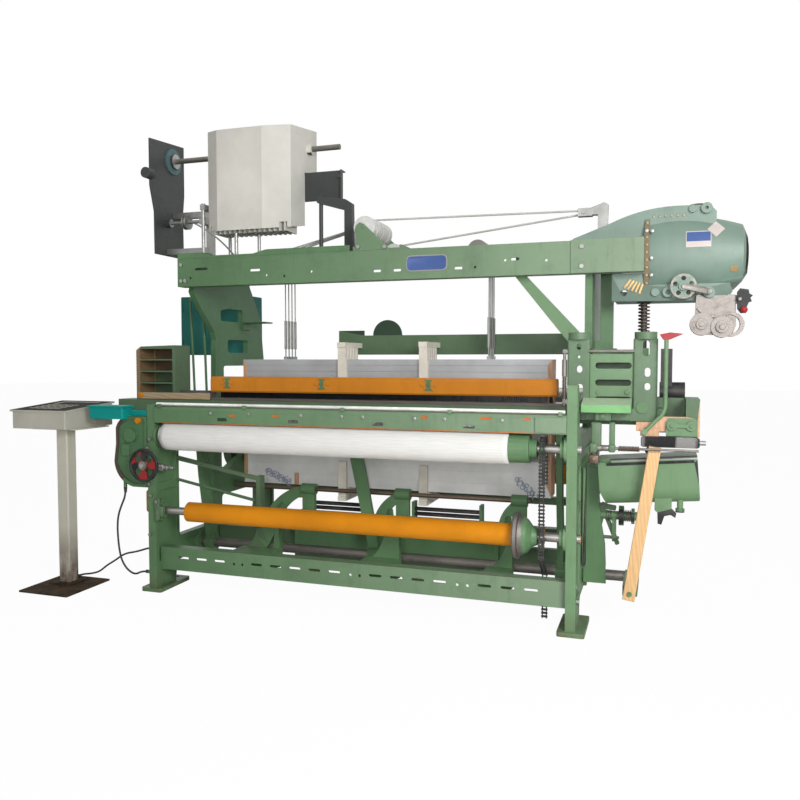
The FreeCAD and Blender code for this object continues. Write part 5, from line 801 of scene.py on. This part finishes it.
class LOOM_OT_slay(bpy.types.Operator):
    """Finish the slay, shuttle boxes and picking motion, bind the reed and add the springs, spindle and levers"""
    bl_idname = "loom.slay"
    bl_label = "Slay and boxes"

    def execute(self, context):
        dress("slay_swords", "mid_green", ("dull_steel", lambda x, y, z, n: off(ROCKER_AXIS, y, z) < 26))
        dress("slay_beam", "rear_green")
        dress("race_board", "race_wood")
        dress("reed_cap", "ochre", ("mid_green", lambda x, y, z, n: y < 255.8 and on_clip(x)))
        bind_reed()
        dress("left_box_walls", "race_wood", ("pale_wood", lambda x, y, z, n: y < 201))
        dress("left_shuttle_boxes", "rear_green",
              ("umber", lambda x, y, z, n: -1341 < x < -1131 and y > 255 and z > 1150),
              ("old_wood", lambda x, y, z, n: x < -1340 or z > 1270 or (n.y < -0.9 and x < -1330)))
        dress("right_box_guide", "box_green", ("mid_green", lambda x, y, z, n: y < 165 and 965 < z < 1028),
              ("leaf_green", lambda x, y, z, n: y < 166 and 965 < z < 1030 and 1080 < x < 1300),
              # the upward faces of the cover take the paler copy of its green: painted light
              ("leaf_pale", lambda x, y, z, n: y < 166 and 1000 < z < 1030 and 1080 < x < 1300 and n.z > 0.6),
              ("dull_steel", lambda x, y, z, n: x < 1012),
              ("dull_steel", lambda x, y, z, n: abs(z - 1234) < 8 and 1115 < x < 1297 and y < 177))
        # The drop boxes take the lit copy of the green: painted light.
        dress("drop_boxes", "pale_green", ("rear_green", lambda x, y, z, n: y > 206 and 1114 < x < 1298))
        dress("picking_stick", "timber")
        # Parts of the picker take the lit copy of the green: painted light.
        dress("picker_box", "rear_green", ("lath", lambda x, y, z, n: y < 145 and 866 < z < 952),
              ("pale_green", lambda x, y, z, n: 111 < y < 143 and 866 < z < 945 and 1438 < x < 1570),
              ("strap_steel", lambda x, y, z, n: z < 864.6 and y < 156),
              ("zinc", lambda x, y, z, n: z < 864.6 and x > 1578),
              ("pale_green", lambda x, y, z, n: 94 < y < 114 and z > 870),
              ("red", lambda x, y, z, n: z > 1281 and y < 120),
              ("black_iron", lambda x, y, z, n: z > 1000 and y > 300))
        # The guard takes the lit copy of the green: painted light.
        dress("pick_guard", "pale_green", ("black_iron", lambda x, y, z, n: z < 530 and y < 300),
              ("mid_green", lambda x, y, z, n: z < 720 and y > 299 and x < 1190),
              ("black_paint", lambda x, y, z, n: y < 171.5 and z > 720 and x > 1180),
              ("zinc", lambda x, y, z, n: y < 191 and n.z > 0.3 and z > 735 and x > 1205),
              ("black_iron", lambda x, y, z, n: x > 1568))

        rod = turned("spindle", (1128, 68, 812), ALONG_X, ((22, 19), (26, 15), (30, 13), (36, 7), (330, 5.5)))
        finish_piece(rod, "slay", "dull_steel", "steel")
        coil = spring("spindle_spring", (1246, 68, 812), 10, 2.2, 86, 14, ALONG_X)
        finish_piece(coil, "slay", "brown_steel", "steel")
        hanger = blocks("spindle_hanger", ((1219, 72, 863), (24, 20, 124), 4), ((1219, 68, 812), (30, 34, 34), 8),
                        ((1152, 74, 866), (44, 24, 116), 6), ((1140, 68, 812), (34, 42, 44), 9))
        finish_group("spindle_hanger", hanger, "slay", "box_green", "light_green")
        catch = blocks("spindle_catch", ((1143, 68, 762), (44, 34, 40), 6), ((1143, 68, 790), (18, 16, 26), 3))
        catch.insert(1, bolt("spindle_catch", (1143, 48, 762), ALONG_Y, 22, 10))
        finish_group("spindle_catch", catch, "slay", "brown_steel", "brown")

        side_spring = spring("guide_spring", (1000, 178, 1018), 9.9, 1.7, 101, 16)
        finish_piece(side_spring, "slay", "brown_steel", "steel")
        packs = [spring("pick_spring_a", (1264, 330, 470), 25, 2.6, 31, 4, ALONG_X),
                 spring("pick_spring_b", (1182, 330, 470), 25, 2.6, 26, 3, ALONG_X)]
        finish_piece(joined("pick_springs", packs), "frame", "dull_steel", "steel")
        levers = []
        for place, sides, lean in (((1150, 330, 425), (28, 18, 210), 14), ((1204, 338, 410), (20, 14, 170), -22),
                                   ((1176, 322, 512), (104, 12, 24), 8), ((1128, 318, 560), (22, 16, 120), -9)):
            lever = block("pick_levers", place, sides, 6, 1)
            lever.rotation_euler = (0, math.radians(lean), 0)
            levers.append(lever)
        levers.append(turned("pick_levers", (1104, 330, 365), ALONG_X, ((16, 19), (96, 8), (14, 15), (12, 6))))
        levers.append(bolt("pick_levers", (1150, 317, 470), ALONG_Y, 26, 12))
        finish_group("pick_levers", levers, "frame", "rear_green", "light_green")
        knob = start("cylinder", "wall_knob", (-1296, 194, 1004), ALONG_Y, vertices=24, radius=14, depth=14)
        edit(knob, edges=lambda middle, way: middle.y < -6)
        bpy.ops.mesh.bevel(offset=5 * MM, segments=4, affect="EDGES")
        finish_piece(settled(shaped(knob)), "slay", "amber", "orange")
        return {"FINISHED"}


class LOOM_OT_healds(bpy.types.Operator):
    """Finish the heald frames, guides, sheaves and pull rods and add the wire healds, lease rings and slat"""
    bl_idname = "loom.healds"
    bl_label = "Healds"

    def execute(self, context):
        for i in range(1, 5):
            # the lower staves take the lit copy of the alloy: painted light
            dress(f"heald_frame_{i}", "drawn_alloy", ("light_drawn", lambda x, y, z, n: z < 900),
                  ("lath", lambda x, y, z, n: not -817 < x < 881 and z < 1198.4),
                  ("zinc", lambda x, y, z, n: z > 1198.4))
            hang_healds(i, HEALD_Y + HEALD_STEP * i)
        dress("heald_guides", "ivory")
        dress("heald_guide_rail", "rear_green", ("half_disc", lambda x, y, z, n: z > 1334.5))
        for node, cover in (("sheave_left", "dull_steel"), ("sheave_right", "dull_steel"),
                            ("roller_upper", "white_cover"), ("roller_lower", "white_cover")):
            dress(node, cover)
        dress("pull_rods", "pull_grey", ("zinc", lambda x, y, z, n: x > 1000))

        for name, (xa, za), (xb, zb), count in (("left_lease_rings", (-690, 570), (-548, 512), 22),
                                                ("right_lease_rings", (730, 588), (826, 500), 15)):
            rings = []
            for k in range(count):
                share, swing = k / (count - 1), math.sin(2.3 * k) * 9
                ring = start("torus", name, (xa + (xb - xa) * share + swing, 508.6, za + (zb - za) * share + swing),
                             (math.pi / 2, 0.5 * math.sin(1.7 * k), 0.6 * k), major_segments=12, minor_segments=5,
                             major_radius=10 + 2 * math.sin(3.1 * k), minor_radius=2.4)
                rings.append(ring)
            finish_group(name, rings, "heald_1", "ring_blue", "stave_grey", smooth=80)
        slat = block("lease_slat", (-506, 508, 533), (26, 6, 66), 2)
        finish_piece(settled(slat), "heald_1", "lath", "wood")
        return {"FINISHED"}


class LOOM_OT_dobby(bpy.types.Operator):
    """Finish the dobby, its gearbox, lever and column and add its rivets, link, cap, plates, comb and studs"""
    bl_idname = "loom.dobby"
    bl_label = "Dobby"

    def execute(self, context):
        dress("dobby_housing", "sea_green", ("sea_dark", lambda x, y, z, n: z < 1530 and y > 335),
              ("seam_tan", lambda x, y, z, n: 1335.2 < x < 1357.8 and y < 345 and z > 1500),
              ("base_dark", lambda x, y, z, n: x > 1762 and y < 400))
        dress("dobby_disc", "sea_green", ("dull_steel", lambda x, y, z, n: off(DISC_AXIS, x, z) > 46
                                          or off(LINK_PIN, x, z) < 20))
        dress("dobby_gearbox", "raw_alloy", ("black_iron", lambda x, y, z, n: abs(n.y) < 0.3 and y < 400))
        dress("dobby_hand_lever", "black_paint", ("red", lambda x, y, z, n: y < 297.6 and z < 1432))
        dress("dobby_column", "black_iron", ("brown_steel", lambda x, y, z, n: off(COLUMN_AXIS, x, y) > 20
                                             and 1328 < z < 1460), ("mid_green", lambda x, y, z, n: z < 1252))

        up_the_seam = [(1346, 1546 + 34 * k, 10) for k in range(9)]
        along_the_top = [(1372 + 26 * k, 1846, 9) for k in range(6)]
        rivets = [bolt("seam_rivets", (x, front("dobby_housing", x, z) - 1, z), ALONG_Y, across, 6)
                  for x, z, across in up_the_seam + along_the_top]
        finish_group("seam_rivets", rivets, "frame", "pale_wood", "brown")
        link = block("dobby_link", (1560, 282.5, 1510), (128, 5, 24), 11, 1)
        edit(link, faces=facing_weaver)
        bpy.ops.mesh.inset(thickness=3 * MM, depth=-1.2 * MM)
        shaped(link).rotation_euler = (0, 0.253, 0)
        cap = start("uv_sphere", "wing_cap", (1566, 400, 1884), stretch=(56, 30, 20), segments=28, ring_count=14,
                    radius=1)
        edit(cap, faces=lambda middle, way: middle.z < -2)
        bpy.ops.mesh.delete(type="FACE")
        bpy.ops.mesh.select_all(action="SELECT")
        bpy.ops.mesh.fill_holes(sides=0)
        finish_piece(settled(shaped(cap), 60), "frame", "charcoal", "dobby_green")
        pin = turned("dobby_link", (1613, 324, 1496), ALONG_Y, ((42, 9), (5, 12)))
        finish_group("dobby_link", [link, pin], "frame", "dull_steel", "steel")

        drum_plate("dobby_plate", (1565, 1744), (100, 42), 0, "plate_blue")
        drum_plate("dobby_plate_rim", (1565, 1733), (106, 72), 0, "plate_white", 0.7)
        drum_plate("dobby_diamond", (1638, 1776), (52, 52), math.pi / 4, "plate_white")
        drum_plate("dobby_tag", (1716, 1597), (30, 24), 0, "brass")
        bars = []
        for k in range(5):
            bar = block("comb_bar", (0, 0, 0), (11, 5, 50), 1.6)
            bar.rotation_euler = (0, math.radians(38 - 5 * k), 0)
            bar.location = at(1262 + 15 * k, 344.5, 1546 - 6 * k)
            bars.append(bar)
        finish_group("dobby_comb", bars, "frame", "brass", "brown")
        studs = repeated(bolt("dobby_studs", (1368, 309, 1776), ALONG_Y, 15, 10),
                         [(1366, 305, 1655), (1366, 321, 1580), (1344, 322, 1780)])
        finish_piece(settled(studs), "frame", "zinc", "steel")
        return {"FINISHED"}


class LOOM_OT_jacquard(bpy.types.Operator):
    """Finish the jacquard head, its shaft and its stand"""
    bl_idname = "loom.jacquard"
    bl_label = "Jacquard head"

    def execute(self, context):
        dress("jacquard_head", "warm_grey", ("charcoal", lambda x, y, z, n: n.z < -0.7))
        dress("jacquard_shaft", "dull_steel")
        dress("jacquard_stand", "zinc", ("charcoal", lambda x, y, z, n: x < -1300 or (x > -460 and z > 1800)),
              ("mid_green", lambda x, y, z, n: x > -1110 and z < 1776),
              ("flange_teal", lambda x, y, z, n: -1330 < x < -1312 and 42 < off(HEAD_AXIS, y, z) < 76))
        dress("rear_cabinet", "teal")
        return {"FINISHED"}


class LOOM_OT_console(bpy.types.Operator):
    """Finish the console and its pedestal"""
    bl_idname = "loom.console"
    bl_label = "Console"

    def execute(self, context):
        dress("console_box", "console_grey", ("key_grey", lambda x, y, z, n: n.z > 0.9))
        dress("pedestal", "post_grey", ("base_dark", lambda x, y, z, n: z < 17))
        return {"FINISHED"}


class LOOM_OT_cloth(bpy.types.Operator):
    """Wind the cloth on the take-up roller as one sheet"""
    bl_idname = "loom.cloth"
    bl_label = "Cloth"

    def execute(self, context):
        size = context.scene.loom_sizes
        low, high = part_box("cloth")
        middle = (Vector(low) + Vector(high)) / 2
        thick, start_angle = 0.0009, -1.1
        inner, outer = 0.0662, (high[2] - low[2]) / 2 - 0.0012
        turns, steps, across = size.cloth_turns, 56, 74
        mesh = bpy.data.meshes.new("cloth_roll")
        shape = bmesh.new()
        rows, length = [], 0.0
        count = turns * steps
        for i in range(count + 1):
            turn = i / steps
            radius = inner + (outer - inner) * i / count
            angle = 2 * math.pi * turn + start_angle
            length += 2 * math.pi * radius / steps if i else 0.0
            row = []
            for j in range(across + 1):
                share = j / across
                x = low[0] + (high[0] - low[0]) * share
                # the last turn lies a little loose, with soft ends
                loose = max(0.0, (i - count + steps) / steps)
                ripple = 0.0007 * loose * (math.sin(23 * share + 2.2 * angle) + 0.6 * math.sin(61 * share - angle))
                ends = 0.010 * loose * (math.exp(-share * 60) + math.exp(-(1 - share) * 60))
                tuck = radius - ends * 0.35 - thick + ripple * 0.5
                y, z = middle[1] + tuck * math.cos(angle), middle[2] + tuck * math.sin(angle)
                row.append((shape.verts.new((x, y, z)), (x, length)))
            rows.append(row)
        chart = shape.loops.layers.uv.new("sheet")
        for a, b in zip(rows, rows[1:]):
            for j in range(across):
                corners = (a[j], a[j + 1], b[j + 1], b[j])
                face = shape.faces.new([c[0] for c in corners])
                face.smooth = True
                for loop, corner in zip(face.loops, corners):
                    loop[chart].uv = corner[1]
        shape.to_mesh(mesh)
        shape.free()
        roll = bpy.data.objects.new("cloth_roll", mesh)
        context.scene.collection.objects.link(roll)
        modify(roll, "SOLIDIFY", thickness=thick, offset=0.0)
        finish_piece(roll, "take_up", "cloth", "cloth", "cloth")
        return {"FINISHED"}


class LOOM_OT_cables(bpy.types.Operator):
    """Hang the guard's cable and the console's cable, with a boot at each end"""
    bl_idname = "loom.cables"
    bl_label = "Cables"

    def execute(self, context):
        radius = context.scene.loom_sizes.cable
        hang_cable("guard_lead", GUARD_ROUTE, radius, "guard_cable")
        hang_cable("console_lead", CONSOLE_ROUTE, radius, "console_cable")
        boots = []
        for place, turn in (((-1232, -30, 517), (0, 0, 0)), ((-1096, -30, 96), (0, -math.pi / 2, 0)),
                            ((-1096, 100, 190), (0, -math.pi / 2, 0)), ((-1580, 2, 22), (math.pi / 2, 0, 0))):
            boots.append(start("cone", "cable_boots", place, turn, vertices=20, radius1=6.6, radius2=9.5, depth=28))
        finish_group("cable_boots", boots, "frame", "black_rubber", "black")
        return {"FINISHED"}


class LOOM_OT_stage(bpy.types.Operator):
    """Set the pale floor, the world's plain light, the lamps and the camera"""
    bl_idname = "loom.stage"
    bl_label = "Stage"

    def execute(self, context):
        scene = context.scene
        scene.view_settings.view_transform = "Standard"
        bpy.ops.object.select_all(action="DESELECT")
        bpy.ops.mesh.primitive_plane_add(size=60, location=(0, 0, -0.0005))
        floor = context.active_object
        floor.name = "floor"
        bpy.ops.object.transform_apply(location=True)
        ground = bpy.data.materials.new("pale_floor")
        ground.use_nodes = True
        nodes, links = ground.node_tree.nodes, ground.node_tree.links
        body = nodes["Principled BSDF"]
        body.inputs["Base Color"].default_value = (0.85, 0.85, 0.84, 1)
        body.inputs["Roughness"].default_value = 0.9
        glow = nodes.new("ShaderNodeEmission")
        glow.inputs["Color"].default_value = (1, 1, 1, 1)
        both = nodes.new("ShaderNodeMixShader")
        path = nodes.new("ShaderNodeLightPath")
        share = nodes.new("ShaderNodeMath")
        share.operation = "MULTIPLY"
        share.inputs[1].default_value = FLOOR_GLOW
        links.new(path.outputs["Is Camera Ray"], share.inputs[0])
        links.new(share.outputs[0], both.inputs[0])
        links.new(body.outputs[0], both.inputs[1])
        links.new(glow.outputs[0], both.inputs[2])
        links.new(both.outputs[0], nodes["Material Output"].inputs["Surface"])
        floor.data.materials.append(ground)

        world = bpy.data.worlds.new("plain_light")
        scene.world = world
        world.use_nodes = True
        nodes, links = world.node_tree.nodes, world.node_tree.links
        soft = nodes["Background"]
        soft.inputs["Color"].default_value = (1.0, 0.99, 0.97, 1)
        soft.inputs["Strength"].default_value = PLAIN_LIGHT
        white = nodes.new("ShaderNodeBackground")
        white.inputs["Color"].default_value = (1, 1, 1, 1)
        seen = nodes.new("ShaderNodeLightPath")
        either = nodes.new("ShaderNodeMath")
        either.operation = "MAXIMUM"
        links.new(seen.outputs["Is Camera Ray"], either.inputs[0])
        links.new(seen.outputs["Is Glossy Ray"], either.inputs[1])
        pick = nodes.new("ShaderNodeMixShader")
        links.new(either.outputs[0], pick.inputs[0])
        links.new(soft.outputs[0], pick.inputs[1])
        links.new(white.outputs[0], pick.inputs[2])
        links.new(pick.outputs[0], nodes["World Output"].inputs["Surface"])

        for name, place, aim, size, power in LAMPS:
            lamp = bpy.data.lights.new(name, "AREA")
            lamp.size, lamp.energy = size, power
            holder = bpy.data.objects.new(name, lamp)
            holder.location = place
            holder.rotation_euler = (Vector(aim) - Vector(place)).to_track_quat("-Z", "Y").to_euler()
            scene.collection.objects.link(holder)

        lens = bpy.data.cameras.new("photo_view")
        lens.lens, lens.sensor_width = LENS, SENSOR
        camera = bpy.data.objects.new("photo_view", lens)
        camera.location = CAMERA_PLACE
        camera.rotation_euler = (math.radians(90 - CAMERA_DOWN), 0, math.radians(CAMERA_LEFT))
        scene.collection.objects.link(camera)
        scene.camera = camera
        return {"FINISHED"}


class LOOM_PT_panel(bpy.types.Panel):
    """Lists the loom's paints, sizes and steps"""
    bl_idname = "LOOM_PT_panel"
    bl_label = "Power Loom"
    bl_space_type = "VIEW_3D"
    bl_region_type = "UI"
    bl_category = "Loom"

    def draw(self, context):
        for group in (context.scene.loom_paints, context.scene.loom_sizes):
            for key in group.__annotations__:
                self.layout.prop(group, key)
        for step in STEPS:
            self.layout.operator(step.bl_idname)


STEPS = (LOOM_OT_castings, LOOM_OT_rollers, LOOM_OT_slay, LOOM_OT_healds, LOOM_OT_dobby, LOOM_OT_jacquard,
         LOOM_OT_console, LOOM_OT_cloth, LOOM_OT_cables, LOOM_OT_stage)
CLASSES = (LoomPaints, LoomSizes, *STEPS, LOOM_PT_panel)


def register():
    """Registers the classes and hangs the settings on the scene."""
    for cls in CLASSES:
        bpy.utils.register_class(cls)
    bpy.types.Scene.loom_paints = bpy.props.PointerProperty(type=LoomPaints)
    bpy.types.Scene.loom_sizes = bpy.props.PointerProperty(type=LoomSizes)


def unregister():
    """Takes the settings and classes away again."""
    del bpy.types.Scene.loom_sizes
    del bpy.types.Scene.loom_paints
    for cls in reversed(CLASSES):
        bpy.utils.unregister_class(cls)


def main():
    """Registers the add-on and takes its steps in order."""
    register()
    for step in STEPS:
        group, name = step.bl_idname.split(".")
        getattr(getattr(bpy.ops, group), name)()
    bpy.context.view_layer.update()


if __name__ == "__main__":
    main()
